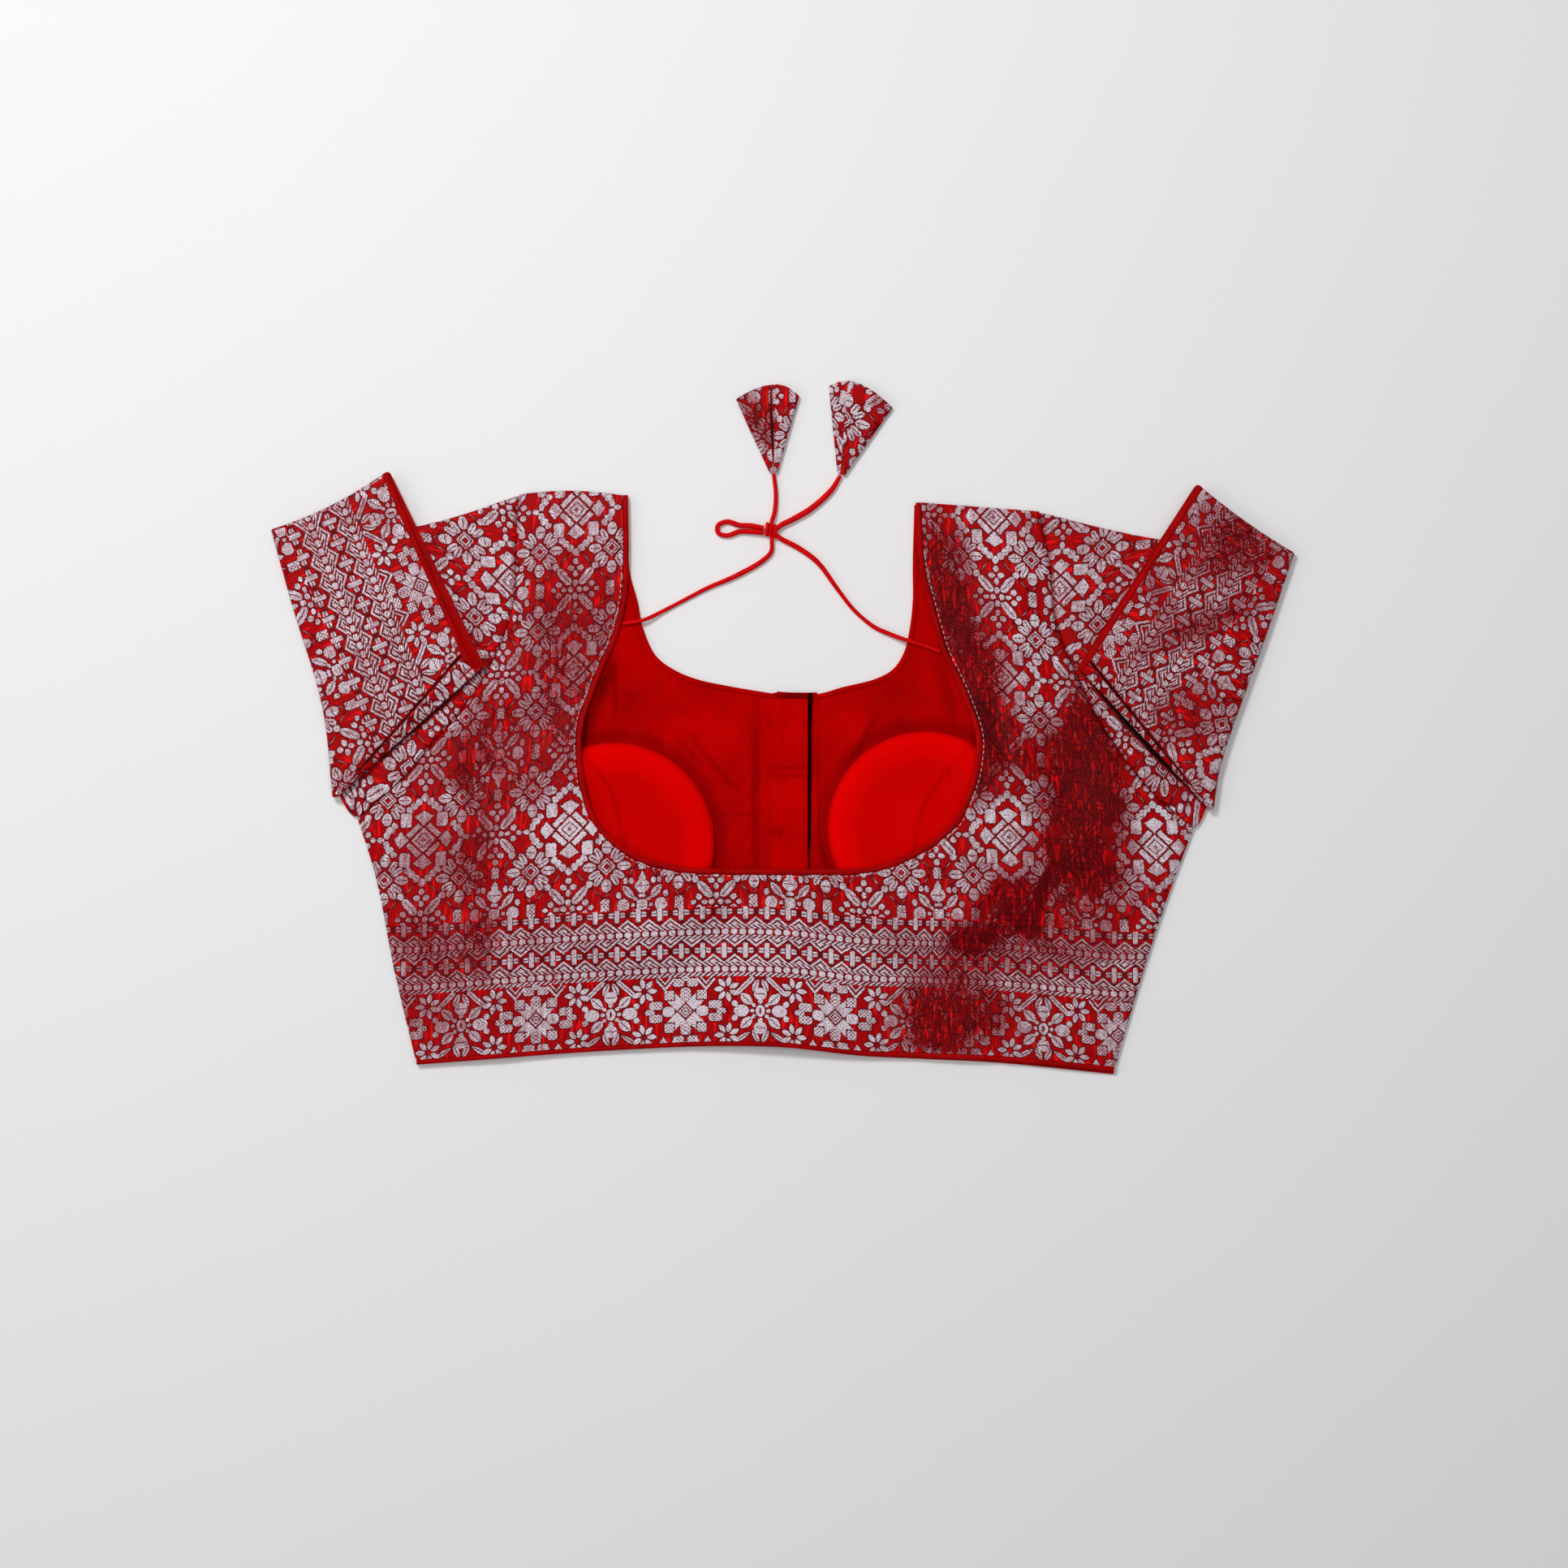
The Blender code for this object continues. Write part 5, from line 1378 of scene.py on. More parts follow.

# %% [markdown]
# ## Hook bands
#
# The closing has two cotton bands, one over the other, with their hooks and eyes on the hidden side. The
# upper one has a folded edge that stands up a little and throws the dark line at its right, which is also
# painted onto the band beneath as a shadow. Each is a strip lofted from a section across it, with shallow
# presses where it has been folded.

# %% The two bands
BAND = 1.0
BAND_BOTTOM = -164.0
OVER_BAND = [(-14.0, 0.0), (-5.2, 0.0), (-3.0, 1.6), (6.0, 1.7), (15.5, 2.2)]
UNDER_BAND = [(-5.6, 0.0), (8.0, -0.1), (15.0, -0.6), (21.5, -0.9)]
# Painted shade across the band's crease, under it and along its left edge; a darker patch lower down and a
# slightly darker left half.
BAND_SHADES = [
    Patch("across", 0.0, 2.6, 18.0, 1.2, 1, -0.3),
    Patch("under it", 1.0, -2.6, 18.0, 1.0, 1, -0.22),
    Patch("darker patch below", -3.0, -36.0, 6.0, 5.0, 0, -0.2),
    Patch("left edge", -14.5, -10.0, 1.4, 70.0, 0, -0.2),
    Patch("left half", -9.5, -40.0, 5.0, 34.0, 0, -0.1),
]
# The under band's darker stitched top, and the painted shadow of the upper band beside its folded edge.
UNDER_BAND_TAPE_AND_SHADOW = [
    Patch("stitched top", 8.0, 47.0, 14.0, 4.5, 0, -0.55),
    Patch("shadow of the upper band", 16.2, -8.0, 1.9, 72.0, -1, -1.3),
]
BAND_CREASES = [
    Crease("across the band", -14.0, -0.4, 16.0, 0.4, 1.3, 0.7),
    Crease("under the crease", -14.0, -4.0, 16.0, -3.2, 2.6, -0.35),
    Crease("lower press", -13.0, -32.0, 4.0, -30.0, 2.2, 0.35),
    Crease("upper press", -4.0, 30.0, 14.0, 33.0, 3.0, 0.3),
]


def hook_band(name, section, top, rise, node_name, shades, thick, finish):
    """One band, from a section across it to BAND_BOTTOM. rise is how much of BAND_CREASES it has."""
    section = np.array(section)
    across = np.linspace(section[0, 0], section[-1, 0], 44)
    down = np.linspace(top, BAND_BOTTOM, 120)
    profile = np.interp(across, section[:, 0], section[:, 1])
    profile = np.convolve(np.pad(profile, 1, mode="edge"), [0.25, 0.5, 0.25], mode="valid")
    x, y = np.meshgrid(across, down)
    wave = crease_height(x, y, BAND_CREASES) * rise + 0.12 * ripple(x, y, 14.0, 31.0)
    y = y + 0.5 * ripple(x, x * 0, 16.0, 33.0) * smoothstep((y - top + 30.0) / 30.0)
    x = x + 0.45 * ripple(y, y * 0, 24.0, 35.0)
    low = np.dstack([x, y, LINING_TOP + 0.35 + profile[None] + np.clip(wave, 0.0, 2.0)])
    tone = painted_lighting_at(low[..., 0], low[..., 1], shades, 0.0, 37.0, -0.97)
    high = low + np.array([0.0, 0.0, thick])
    band = grid_shell(name, low, high, finish, tone=tone, turned=True)
    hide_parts(node_name)
    return band


under_band = hook_band("hook_band_under", UNDER_BAND, 49.5, 0.0, "placket_under", UNDER_BAND_TAPE_AND_SHADOW, 0.6, cotton)
over_band = hook_band("hook_band_over", OVER_BAND, 45.5, 1.0, "placket_over", BAND_SHADES, BAND, band_cotton)
band_stitches = stitches("hook_band_stitching", np.column_stack([
    np.full(60, 12.9), np.linspace(44.0, -60.0, 60), np.full(60, LINING_TOP + 0.35 + BAND + 2.05),
]))
band_stitches.data.materials[0] = satin
print("bands", [len(piece.data.polygons) for piece in (under_band, over_band)], "faces")

# %% [markdown]
# ## Cups
#
# Each cup is a moulded foam pad under a thin knit. Foam keeps the shape it was pressed in, so it is modelled
# as that shape and not as a stuffed cushion: a shallow dish that is fullest near its rim and thins to a
# rounded edge, with one curved seam pressed into it.

# %% Moulded cups
CUP_PROFILE = [
    (0.0, 2.6), (0.2, 2.65), (0.34, 2.8), (0.6, 3.5), (0.77, 4.8), (0.87, 5.4), (0.95, 4.5), (0.99, 2.9),
    (1.0, 1.3), (0.985, 0.45), (0.96, 0.05),
]
CUP_SEAMS = {
    "cup_left": [
        (-124.0, 17.0), (-120.5, 9.75), (-106.5, -8.25), (-100.0, -29.25), (-97.5, -43.75), (-99.0, -70.0),
    ],
    "cup_right": [
        (122.0, 20.0), (115.0, 15.25), (95.5, -6.25), (86.5, -22.25), (82.0, -45.75), (84.0, -66.0),
    ],
}
CUP_SIDES = 120
GROOVE_DEEP, GROOVE_WIDE = 0.5, 1.3
SWELL_HIGH, SWELL_WIDE = 0.3, 4.0
RIM_LIGHT, CUP_SHADE, EDGE_SHADE = 0.18, 0.16, 0.14
LOW_SHADE, SEAM_SHADE = 0.12, 0.22


def moulded_cup(cup):
    """A foam dish in rings round its middle, with its pressed seam and its shading."""
    base = LINING_TOP + 0.3
    profile = smooth_line(CUP_PROFILE, 4)
    seam = smooth_line(CUP_SEAMS[cup.name], 8)
    turns = np.arange(CUP_SIDES) * math.tau / CUP_SIDES
    points = [(cup.x, cup.y, base + profile[0, 1])]
    tone = [-CUP_SHADE]
    for share, rise in profile[1:]:
        x = cup.x + cup.radius * share * np.cos(turns)
        y = cup.y + cup.radius * share * np.sin(turns)
        away = np.min(np.hypot(x[:, None] - seam[:, 0], y[:, None] - seam[:, 1]), axis=1)
        groove = GROOVE_DEEP * np.exp(-((away / GROOVE_WIDE) ** 2))
        groove = groove - SWELL_HIGH * np.exp(-((away / SWELL_WIDE) ** 2))
        soft = 0.25 * ripple(x, y, 30.0, 41.0)
        z = base + rise + (soft - groove) * (rise > 1.0) * (share < 0.99)
        points += list(zip(x, y, z))
        # Painted light and shade: a lighter rim, a darker middle and outer edge, a darker lower side, and
        # painted shade along the seam.
        rim = RIM_LIGHT * smoothstep((share - 0.62) / 0.2) - CUP_SHADE
        rim = rim - EDGE_SHADE * smoothstep((share - 0.94) / 0.05)
        low_side = LOW_SHADE * smoothstep((cup.y - y) / cup.radius)
        seam_line = SEAM_SHADE * np.exp(-((away / 1.6) ** 2))
        tone += list(rim - low_side - seam_line + 0.06 * ripple(x, y, 24.0, 43.0))
    rows = len(profile) - 1
    faces = [[0, 1 + i, 1 + (i + 1) % CUP_SIDES] for i in range(CUP_SIDES)]
    faces += ring_faces(1, rows, CUP_SIDES)
    last = 1 + (rows - 1) * CUP_SIDES
    faces.append([last + i for i in reversed(range(CUP_SIDES))])
    pad = make_piece(f"moulded_{cup.name}", points, faces, brushed_knit, tone=tone)
    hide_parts(cup.name)
    return pad


cups = [moulded_cup(cup) for cup in CUPS]
print([len(pad.data.polygons) for pad in cups], "faces")

# %% [markdown]
# ## Sleeves
#
# Each sleeve is a brocade tube pressed flat, which runs out from the armhole, folds over and comes back over
# itself, so that its hem lies on top. It is built as rings of points: each ring goes along one ply, round
# the underarm fold, back along the other ply and round the top fold. The rings run from the armhole to the
# fold line, turn half a circle there, and run on to the hem.

# %% The form of a folded sleeve
FOLD_LINE = "fold_top fold_upper fold_lower fold_end"
HEM_LINES = "hem_top hem_end under_hem_top under_hem_end"
# dip and folded_dip are how far the top edge sags before and after the fold line, and under_fold is how
# much of the underarm fold shows beyond the upper ply.
Sleeve = namedtuple("Sleeve", f"side out {FOLD_LINE} {HEM_LINES} dip folded_dip under_fold")
LEFT_SLEEVE = Sleeve(
    "left", -1, Point(-314.5, 148.5), Point(-301.5, 102.0), Point(-283.0, 40.0), Point(-277.0, -14.0),
    Point(-242.0, 183.0), Point(-193.0, 72.0), Point(-240.5, 183.5), Point(-183.0, 66.0), 11.0, 3.0, 3.6,
)
RIGHT_SLEEVE = Sleeve(
    "right", 1, Point(315.0, 134.5), Point(298.0, 85.0), Point(270.0, 5.0), Point(265.5, -21.5),
    Point(254.5, 175.5), Point(186.0, 70.0), Point(253.0, 175.5), Point(181.5, 65.5), 5.5, 1.5, 1.4,
)
UNDERARM_SAG = 2.5
TUBE_AT_ARMHOLE, TUBE_AT_FOLD, TUBE_AT_HEM = 4.0, 3.2, 4.1
FOLD_TOP_RADIUS, FOLD_END_RADIUS = 1.9, 3.0
HEM_RISE, PUFF = 1.2, 1.4
PINCH, PINCH_RISE, PINCH_REACH = 0.55, 0.45, 5.0
FACING, FACING_THICK = 14.0, 0.7
SLEEVE_COLUMNS = 64
FINE_COLUMNS = 18
EDGE_TURNS = np.linspace(math.pi / 2, -math.pi / 2, 9)[1:-1]
UP = np.array([0.0, 0.0, 1.0])


def tube_ring(line, ahead, normal, middle, half, depth):
    """Points round a flat tube: one ply, its fold, the other ply and its fold."""
    inset = half - depth
    outer, inner = line
    up = normal * inset
    lift = UP * middle[:, None]
    points = list(outer + lift + up)
    for turn in EDGE_TURNS:
        both = (outer[-1] + inner[-1]) / 2 + (outer[-1] - inner[-1]) / 2 * math.sin(turn)
        points.append(both + lift[-1] + ahead[-1] * inset * math.cos(turn) + normal * inset * math.sin(turn))
    points += list((inner + lift - up)[::-1])
    for turn in EDGE_TURNS[::-1]:
        both = (outer[0] + inner[0]) / 2 + (outer[0] - inner[0]) / 2 * math.sin(turn)
        points.append(both + lift[0] - ahead[0] * inset * math.cos(turn) + normal * inset * math.sin(turn))
    return np.array(points)


def way_along(line):
    """Unit vectors along a flat line, from its top to its underarm end."""
    run = np.gradient(line, axis=0)
    run /= np.linalg.norm(run, axis=1)[:, None]
    return np.column_stack([run, np.zeros(len(run))])


class SleeveForm:
    """The places of a sleeve's points, from the armhole over the fold line to the hem."""

    def __init__(self, spec, armhole):
        self.spec = spec
        coarse = np.linspace(0.0, 0.84, SLEEVE_COLUMNS - FINE_COLUMNS)
        self.shares = np.concatenate([coarse, np.linspace(0.855, 1.0, FINE_COLUMNS)])
        inset = (TUBE_AT_ARMHOLE / 2) / np.linalg.norm(armhole[0] - armhole[-1])
        start = along(armhole, inset + self.shares * (1 - 2 * inset))
        self.start = start + sideways(start, start + np.array([300.0 * spec.out, 0.0])) * SEWN
        fold_points = [spec.fold_top, spec.fold_upper, spec.fold_lower, spec.fold_end]
        self.fold = along(smooth_line(fold_points, 6), self.shares)
        self.out = sideways(self.fold, self.fold + np.array([300.0 * spec.out, 0.0])).mean(axis=0)
        self.out /= np.linalg.norm(self.out)
        self.radius = FOLD_TOP_RADIUS + (FOLD_END_RADIUS - FOLD_TOP_RADIUS) * self.shares
        self.axis = self.fold - self.out * (self.radius + TUBE_AT_FOLD / 2)[:, None]
        self.hem = along(np.array([spec.hem_top, spec.hem_end]), self.shares)
        self.under_hem = along(np.array([spec.under_hem_top, spec.under_hem_end]), self.shares)

    def before_fold(self, share, depth):
        """A ring between the armhole and the fold line, this deep under the cloth's face."""
        line = self.start + share * (self.axis - self.start)
        sag = self.spec.dip * (1 - self.shares) ** 2 + UNDERARM_SAG * self.shares**4
        line[:, 1] -= math.sin(math.pi * share) * sag
        from_seam = np.linalg.norm(self.axis - self.start, axis=1).mean() * share
        pinch = PINCH + PINCH_RISE * math.sqrt(1 - (1 - min(from_seam / PINCH_REACH, 1.0)) ** 2)
        tube = (TUBE_AT_ARMHOLE + share * (TUBE_AT_FOLD - TUBE_AT_ARMHOLE)) * pinch
        flat = np.column_stack([line, np.zeros(len(line))])
        middle = np.full(len(line), tube / 2)
        return tube_ring((flat, flat), way_along(line), -UP, middle, tube / 2, depth)

    def at_fold(self, turn, depth):
        """A ring on the half circle over the fold line."""
        out = np.append(self.out, 0.0)
        normal = out * math.sin(turn) - UP * math.cos(turn)
        middle = TUBE_AT_FOLD / 2 + self.radius * (1 - math.cos(turn))
        line = self.axis + self.out * (self.radius * math.sin(turn))[:, None]
        flat = np.column_stack([line, np.zeros(len(line))])
        return tube_ring((flat, flat), way_along(line), normal, middle, TUBE_AT_FOLD / 2, depth)

    def folded_heights(self, share):
        """Height of the underside of the part that is folded back, which also swells a little."""
        swell = PUFF * np.sin(math.pi * share) * np.sin(math.pi * self.shares)
        return 2 * self.radius + HEM_RISE * share + swell

    def folded_line(self, back_from_hem, share):
        """Both plies at a share of the way to the hem, which stops short of it by a distance."""
        lines = []
        for hem_edge in (self.hem, self.under_hem):
            run = hem_edge - self.axis
            whole = np.linalg.norm(run, axis=1)[:, None]
            flat = self.axis + run * share * (whole - back_from_hem) / whole
            flat[:, 1] -= math.sin(math.pi * share) * self.spec.folded_dip * (1 - self.shares) ** 2
            lines.append(np.column_stack([flat, np.zeros(len(flat))]))
        return lines

    def after_fold(self, share, depth, back_from_hem):
        """A ring between the fold line and the hem, or a distance short of it."""
        lines = self.folded_line(back_from_hem, share)
        tube = TUBE_AT_FOLD + share * (TUBE_AT_HEM - TUBE_AT_FOLD)
        middle = self.folded_heights(share) + tube / 2
        return tube_ring(lines, way_along(lines[0][:, :2]), UP, middle, tube / 2, depth)


# %% [markdown]
# Where the pattern falls on a sleeve is worked out from its hem. The part beyond the fold line is unrolled
# in the plane first, so the motifs run on round the fold, and the hidden ply goes on past the underarm edge.

# %% Where the pattern falls on a sleeve
SLEEVE_MIDDLE, SLEEVE_STRETCH = 60.0, 0.955
Weave = namedtuple("Weave", "corner_x corner_y run_x run_y in_x in_y border_run border_high field_run")
LEFT_WEAVE = Weave(-240.5, 184.75, 0.381, -0.924, -0.924, -0.381, -25.1, -9.3, -54.1)
RIGHT_WEAVE = Weave(254.5, 177.25, -0.539, -0.842, 0.842, -0.539, -57.5, -0.8, -48.1)


def sleeve_places(weave, flat_rings):
    """Places on the cloth for rings of plan points, each with one more column that closes the ring."""
    run_way = np.array([weave.run_x, weave.run_y])
    in_way = np.array([weave.in_x, weave.in_y])
    corner = np.array([weave.corner_x, weave.corner_y])
    run = (flat_rings - corner) @ run_way
    inside = (flat_rings - corner) @ in_way
    ply, turns = SLEEVE_COLUMNS, len(EDGE_TURNS)
    edge_turn = math.pi * TUBE_AT_FOLD / 2
    run = SLEEVE_MIDDLE + (run - SLEEVE_MIDDLE) * SLEEVE_STRETCH
    far = run[:, ply - 1]
    steps = np.arange(1, turns + 1) / (turns + 1) * edge_turn
    run[:, ply : ply + turns] = far[:, None] + steps
    back = slice(ply + turns, 2 * ply + turns)
    run[:, back] = 2 * far[:, None] + edge_turn - run[:, back]
    last = run[:, 2 * ply + turns - 1]
    run[:, 2 * ply + turns :] = last[:, None] + steps
    run = np.column_stack([run, last + edge_turn])
    inside = np.column_stack([inside, inside[:, 0]])
    high = inside + weave.border_high
    return {
        "field": np.stack([run + weave.field_run, high - 116.0], axis=-1),
        "border": np.stack([run + weave.border_run, high], axis=-1),
    }


# %% The sleeve shells
SLEEVE_CREASES = {
    "left": [
        Crease("top fold shadow", -300.0, 150.0, -250.0, 168.0, 6.0, 0.7),
        Crease("across the fold", -296.0, 66.0, -232.0, 92.0, 9.0, 0.9),
        Crease("low drag", -280.0, 22.0, -226.0, 52.0, 8.0, 0.8),
        Crease("hem pull", -236.0, 150.0, -214.0, 96.0, 5.0, 0.6),
    ],
    "right": [
        Crease("top fold shadow", 300.0, 134.0, 256.0, 160.0, 7.0, 0.7),
        Crease("across the fold", 296.0, 84.0, 226.0, 118.0, 8.0, 1.1),
        Crease("low drag", 284.0, 44.0, 214.0, 80.0, 9.0, 1.2),
        Crease("hem pull", 238.0, 146.0, 204.0, 92.0, 5.0, 0.7),
    ],
}
# Painted light and shade where the sleeves turn from the lamp.
SLEEVE_PAINTED_LIGHTING = {
    "left": [
        Patch("under the fold", -262.0, -2.0, 18.0, 16.0, 0, -0.15),
        Patch("top", -262.0, 160.0, 30.0, 10.0, 0, -0.1),
    ],
    "right": [
        Patch("top", 276.0, 140.0, 34.0, 26.0, 0, -0.42),
        Patch("middle drag", 262.0, 92.0, 42.0, 10.0, 22, -0.35),
        Patch("by the hem", 226.0, 116.0, 10.0, 34.0, 28, -0.25),
        Patch("low", 250.0, 36.0, 24.0, 18.0, 30, -0.3),
    ],
}
# Painted shadows under the fold: the dark gap below the folded part, a darker line along a seam and the open
# middle of the right sleeve.
UNDER_SLEEVE_PAINTED_SHADE = {
    "left": [
        Patch("gap under the fold", -231.5, 25.0, 58.0, 2.6, 40.4, -1.5),
        Patch("seam", -196.0, 30.0, 1.5, 50.0, -40, -0.3),
    ],
    "right": [
        Patch("gap under the fold", 224.0, 20.0, 56.0, 3.0, -47, -1.6),
        Patch("open middle", 218.0, 27.0, 24.0, 5.0, -47, -0.9),
    ],
}


SEAM_SHARES = [0.0, 0.004, 0.01, 0.02, 0.035, 0.055]
FOLD_DROP, FOLD_SOFT, EDGE_ROUND = 0.6, 1.6, 0.9
# Painted shadow along the upper ply's folded edge, and painted shade at the armhole seam.
FOLD_EDGE_SHADOW, ARMHOLE_SEAM_SHADE = 2.6, 0.25


def unroll(form, rings, before, turns):
    """Plan places of a sleeve's rings, with what comes before the hem's part laid out flat beyond it."""
    plan = rings[..., :2].copy()
    ply, fold = np.arange(SLEEVE_COLUMNS), np.full(len(EDGE_TURNS), SLEEVE_COLUMNS - 1)
    at = np.concatenate([ply, fold, ply[::-1], fold * 0])
    axis, radius = form.axis[at], form.radius[at]
    for row in range(before):
        beyond = (axis - plan[row]) @ form.out * 2 + math.pi * radius
        plan[row] += form.out * beyond[:, None]
    for row, turn in enumerate(turns, before):
        plain = plan[row] - form.out * ((plan[row] - axis) @ form.out)[:, None]
        plan[row] = plain + form.out * (radius * (math.pi - turn))[:, None]
    return plan


def brocade_sleeve(spec, weave, armhole, base):
    """The sleeve tube with its creases, pattern and tone of painted light and shade."""
    form = SleeveForm(spec, armhole)
    early = np.concatenate([SEAM_SHARES, np.linspace(0.08, 1.0, 44)])
    turns = np.linspace(0.0, math.pi, 12)[1:]
    late = np.linspace(0.0, 1.0, 46)[1:]
    skins = []
    for depth in (CLOTH, 0.2):
        rings = [form.before_fold(share, depth) for share in early]
        rings += [form.at_fold(turn, depth) for turn in turns]
        rings += [form.after_fold(share, depth, SLEEVE_BINDING + SEWN) for share in late]
        skins.append(np.array(rings))
    low, high = skins
    x, y = high[..., 0], high[..., 1]
    places = sleeve_places(weave, unroll(form, high, len(early), turns))
    ply = np.zeros(low.shape[:2])
    across = np.sin(math.pi * form.shares) ** 0.5
    top = np.s_[len(early) + len(turns) :, :SLEEVE_COLUMNS]
    ply[top] = across * smoothstep(np.arange(1, len(late) + 1) / 6.0)[:, None]
    top_of_under = np.clip((early - 0.02) / 0.15, 0.0, 1.0)[:, None]
    inner = slice(SLEEVE_COLUMNS + len(EDGE_TURNS), 2 * SLEEVE_COLUMNS + len(EDGE_TURNS))
    relief = crease_height(x, y, SLEEVE_CREASES[spec.side]) + 0.3 * ripple(x, y, 30.0, 51.0)
    fine = 0.14 * ripple(x, y, 11.0, 53.0)
    lift = np.clip(relief + fine + 0.25, 0.0, 3.0) * ply
    under = 0.16 * ripple(x, y, 12.0, 55.0)[: len(early), inner]
    lift[: len(early), inner] += under * across[::-1] * top_of_under
    low[..., 2] += lift
    high[..., 2] += lift
    upper = high[top][..., :2]
    from_edge = np.linalg.norm(upper - upper[:, -1:], axis=2)
    from_fold = from_edge - spec.under_fold * late[:, None] ** 0.8
    rounded = 1 - smoothstep((EDGE_ROUND - from_edge) / EDGE_ROUND)
    step = -FOLD_DROP * smoothstep((1.2 - from_fold) / FOLD_SOFT) * rounded
    grown = smoothstep(late * 4.0)[:, None]
    for skin in (low, high):
        skin[top][..., 2] += step * grown
    tone = painted_lighting_at(x, y, SLEEVE_PAINTED_LIGHTING[spec.side], base, 61.0)
    # Painted shadow: a dark line along the upper ply's folded edge, here called seam.
    seam = 0.5 * np.exp(-((from_fold + 0.2) ** 2)) * grown
    tone[top] = np.clip(tone[top], 0.0, 1.0) - FOLD_EDGE_SHADOW * seam
    beneath = painted_lighting_at(x[: len(early)], y[: len(early)], UNDER_SLEEVE_PAINTED_SHADE[spec.side], base, 61.0, -0.5)
    # Painted shade in the first rings, along the armhole seam.
    beneath[:3] -= ARMHOLE_SEAM_SHADE
    tone[: len(early)] = beneath
    sleeve = grid_shell(f"sleeve_brocade_{spec.side}", low, high, brocade, True, places, tone, spec.out > 0)
    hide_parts(f"sleeve_{spec.side}")
    return form, sleeve


CUFF_SHARES = [1.0, 0.93, 0.8, 0.62, 0.44, 0.28, 0.14, 0.05, 0.0]


def sleeve_cuff(form):
    """The satin binding round a sleeve's hem, which covers the raw edge of both plies."""
    spec = form.spec
    skins = []
    for inside in (True, False):
        rings = []
        for back in CUFF_SHARES:
            rim = 0.5 * (1 - math.sin(math.pi / 2 * min(back * 3.0, 1.0)))
            puff = 0.28 * math.sin(math.pi * back) ** 0.6
            depth = CLOTH + 0.1 - rim * 0.2 if inside else rim - puff
            rings.append(form.after_fold(1.0, depth, SLEEVE_BINDING * back))
        skins.append(np.array(rings))
    cuff = grid_shell(f"sleeve_binding_{spec.side}", skins[0], skins[1], satin, True, turned=spec.out > 0)
    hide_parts(f"sleeve_piping_{spec.side}")
    return cuff


armhole_left = edge[: columns["left armpit"] + 1]
armhole_right = edge[columns["right armpit"] :][::-1]
left_form, left_sleeve = brocade_sleeve(LEFT_SLEEVE, LEFT_WEAVE, armhole_left, 0.72)
left_cuff = sleeve_cuff(left_form)
right_form, right_sleeve = brocade_sleeve(RIGHT_SLEEVE, RIGHT_WEAVE, armhole_right, 0.66)
right_cuff = sleeve_cuff(right_form)
print("sleeves", len(left_sleeve.data.polygons), len(right_sleeve.data.polygons), "faces")

# %% [markdown]
# The left sleeve's lower ply reaches past the upper one, and on it a strip of lining cotton shows, with a
# narrow brocade edge where the facing stops.

# %% The strip of facing on the left sleeve
rows = []
length = np.linalg.norm(left_form.under_hem - left_form.axis, axis=1)
for back in np.linspace(FACING + SLEEVE_BINDING + 0.8, SLEEVE_BINDING + 0.1, 12):
    flat = left_form.folded_line(back, 1.0)[1][:, :2]
    share = (length - back) / (length - SLEEVE_BINDING - 0.3)
    rows.append(np.column_stack([flat, left_form.folded_heights(share) + CLOTH + 0.3])[3:-3])
low = np.array(rows)
low[..., 2] += 0.2 + 0.15 * ripple(low[..., 0], low[..., 1], 16.0, 71.0)
tone = painted_lighting_at(low[..., 0], low[..., 1], [], -0.08)
facing = grid_shell("sleeve_facing_cotton", low, low + UP * FACING_THICK, cotton, tone=tone)
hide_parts("sleeve_facing_left")
print(len(facing.data.polygons), "faces of facing")

# %% [markdown]
# ## Tassels
#
# Each tassel is a wedge of brocade wrapped flat round the end of its string, one flap over the other, so a
# seam runs down its middle. Its section is a flattened roll that grows from the string to the wide mouth.

# %% Wrapped tassels
Tassel = namedtuple("Tassel", "name apex left crown right seam cloth_x cloth_y")
TASSELS = [
    Tassel("tassel_left", (-5.5, 185.2), (-28.5, 230.0), (-6.0, 239.0), (10.0, 232.0), 0.1, 8.0, 2.0),
    Tassel("tassel_right", (36.2, 184.0), (29.0, 238.0), (46.0, 240.0), (67.5, 225.0), -0.3, 26.0, 40.0),
]
FLAP_INNER, FLAP_OUTER, FLAP_SHIFT, TASSEL_NECK = 2.25, 3.85, -30.0, 2.0
TASSEL_ROWS, TASSEL_COLUMNS, TASSEL_CLOTH = 34, 64, 0.9
# Painted light and shade: the left flap and right tip turned from the light, and a painted shadow in the
# seam.
TASSEL_PAINTED_LIGHTING = [
    Patch("left flap", -17.0, 222.0, 9.0, 24.0, 20, -0.4),
    Patch("right tip", 60.0, 222.0, 6.0, 12.0, 0, -0.3),
    Patch("left seam", -6.4, 214.0, 0.9, 26.0, 2, -1.1),
]


def flap_section(half, seam):
    """The middle line of a wrapped strip across a tassel: inner flap, underside, outer flap."""
    low = CLOTH / 2
    inner_turn, outer_turn = (FLAP_INNER - low) / 2, (FLAP_OUTER - low) / 2
    reach = inner_turn - half - seam * half
    line = [(seam * half + share * reach, FLAP_INNER) for share in (-0.12, 0.3, 0.65, 1.0)]
    for turn in np.linspace(0.3, 0.7, 5) * math.pi:
        line.append((-half + inner_turn * (1 - math.sin(turn)), low + inner_turn * (1 + math.cos(turn))))
    width = 2 * half - inner_turn - outer_turn
    line += [(inner_turn - half + share * width, low) for share in (0.0, 0.33, 0.67, 1.0)]
    for turn in np.linspace(0.2, 0.8, 5) * math.pi:
        line.append((half - outer_turn * (1 - math.sin(turn)), low + outer_turn * (1 - math.cos(turn))))
    end = half - outer_turn
    line += [(end + share * (seam * half - end), FLAP_OUTER) for share in (0.0, 0.5, 1.0)]
    return np.array(line)


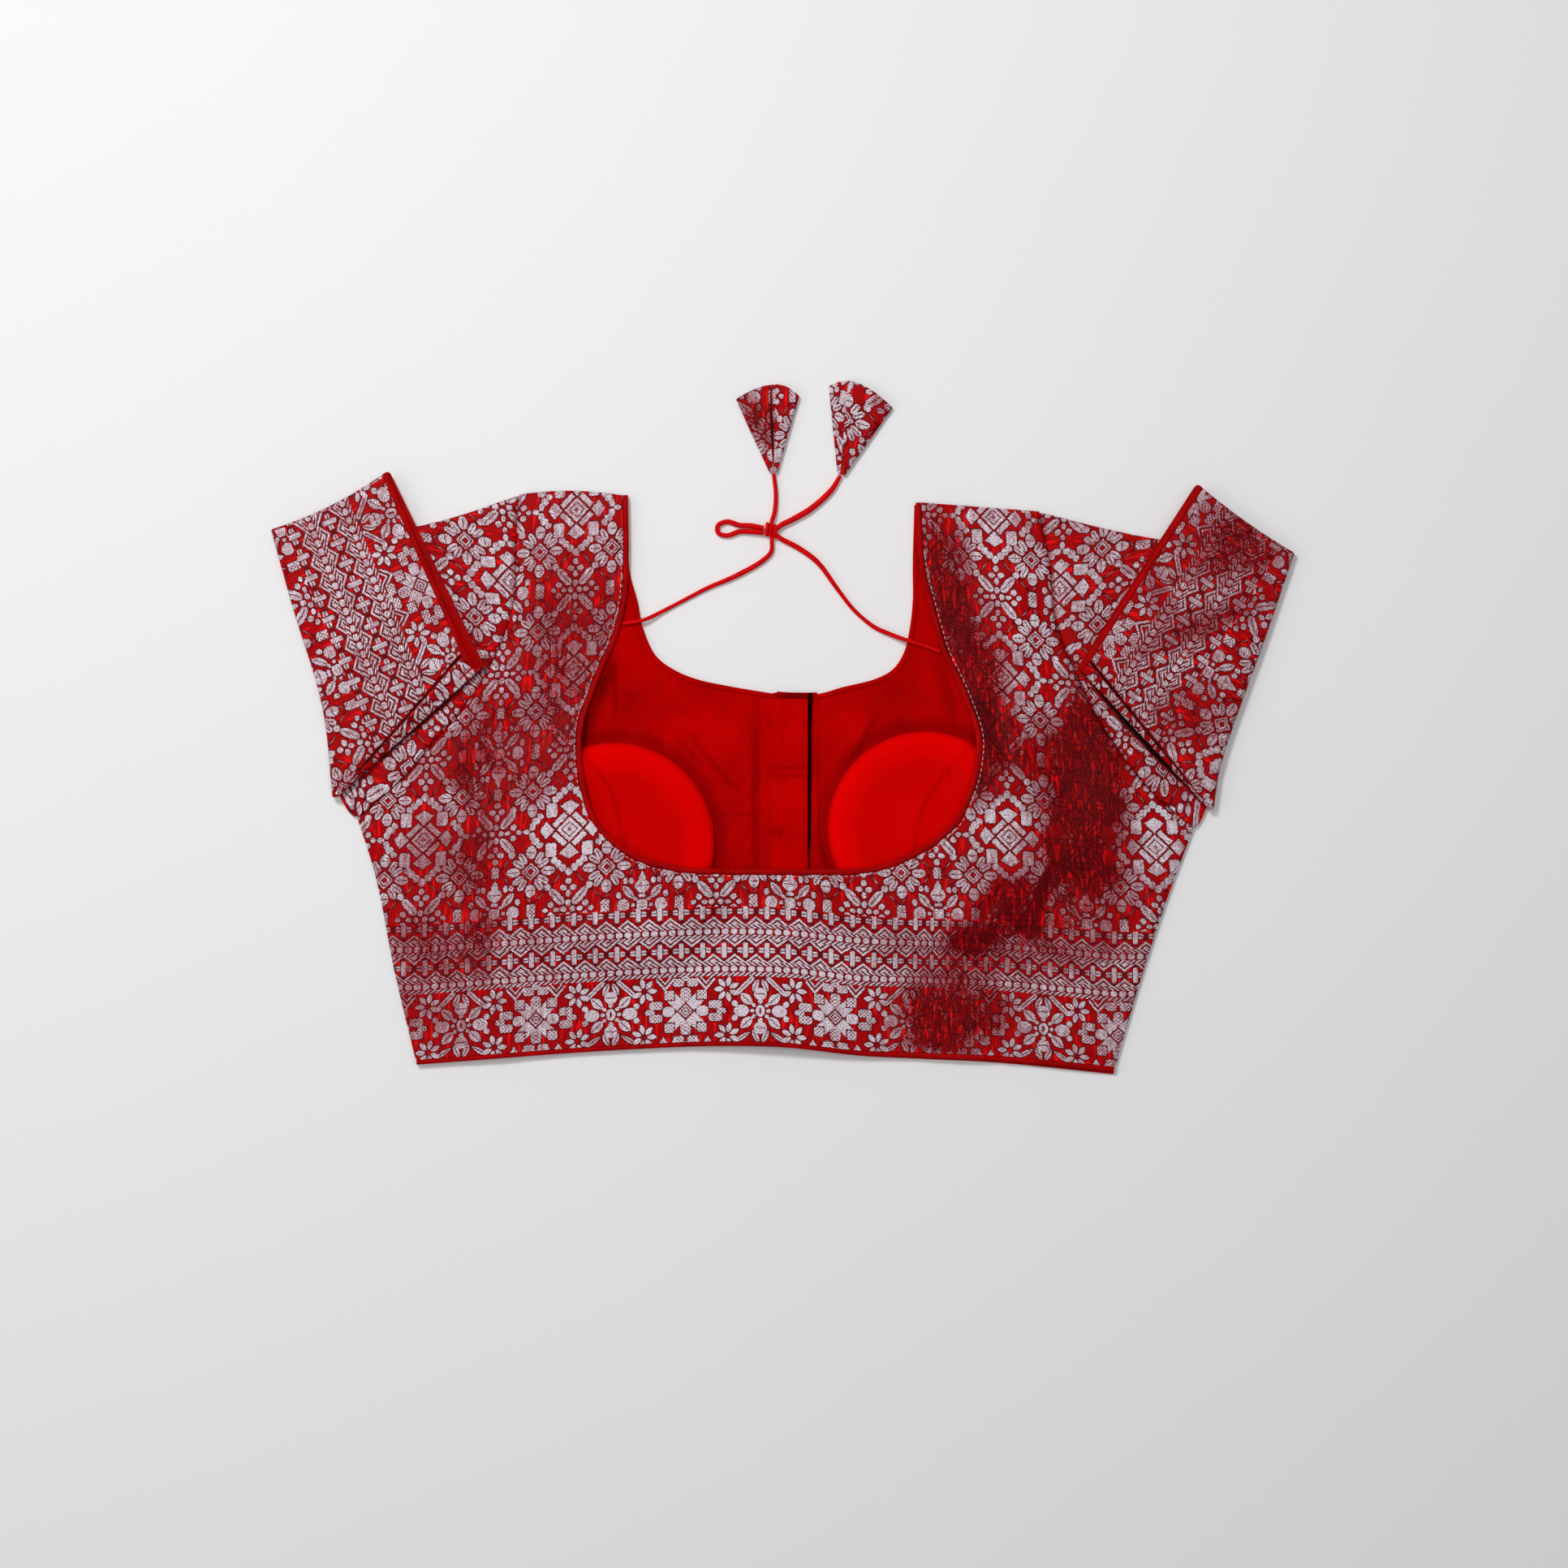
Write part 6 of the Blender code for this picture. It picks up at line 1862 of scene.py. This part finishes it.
def wrapped_tassel(tassel):
    """A tassel in rows from its string to its mouth, where FLAP_SHIFT sets the inner flap's pattern apart."""
    apex, left, crown, right = (np.array(point) for point in tassel[1:5])
    mouth = (left + right) / 2
    across = (right - left) / np.linalg.norm(right - left)
    half = np.linalg.norm(right - left) / 2
    bow = np.linalg.norm(crown - mouth)
    rows, places = [], []
    for share in np.linspace(0.0, 1.0, TASSEL_ROWS):
        width = TASSEL_NECK + (half - TASSEL_NECK) * share
        section = along(flap_section(width, tassel.seam), np.linspace(0.0, 1.0, TASSEL_COLUMNS))
        middle = apex + (mouth - apex) * share
        reach = np.clip(1 - (section[:, 0] / width) ** 2, 0.0, 1.0)
        plan = middle + section[:, :1] * across + (crown - mouth) * (share * reach)[:, None]
        waver = 0.15 * ripple(plan[:, 0], plan[:, 1], 9.0, 81.0) * share
        rows.append(np.column_stack([plan, section[:, 1] + np.clip(waver, -0.1, 0.2)]))
        flap = np.where(np.arange(TASSEL_COLUMNS) < TASSEL_COLUMNS // 3, FLAP_SHIFT, 0.0)
        down = (np.linalg.norm(mouth - apex) + bow * reach) * share
        places.append(np.column_stack([section[:, 0] + flap + tassel.cloth_x, down + tassel.cloth_y]))
    grid = np.array(rows)
    normal = np.cross(np.gradient(grid, axis=0), np.gradient(grid, axis=1))
    normal /= np.linalg.norm(normal, axis=2)[..., None]
    field = np.array(places)
    maps = {"field": field, "border": field + np.array([0.0, 200.0])}
    tone = painted_lighting_at(grid[..., 0], grid[..., 1], TASSEL_PAINTED_LIGHTING, 0.74, 83.0, -0.5)
    low, high = grid - normal * TASSEL_CLOTH / 2, grid + normal * TASSEL_CLOTH / 2
    piece = grid_shell(f"{tassel.name}_brocade", low, high, brocade, False, maps, tone)
    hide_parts(tassel.name)
    return piece


tassels = [wrapped_tassel(tassel) for tassel in TASSELS]
print([len(piece.data.polygons) for piece in tassels], "faces")

# %% [markdown]
# ## A row for each cut
#
# A Cut row gives a piece, its width and length, what holds it, what it rests on and its trims. The sizes
# are those of the cut before sewing, measured round both plies of a tube.

# %% Cords and sheets
Cut = namedtuple("Cut", "piece width length held rests_on trims")
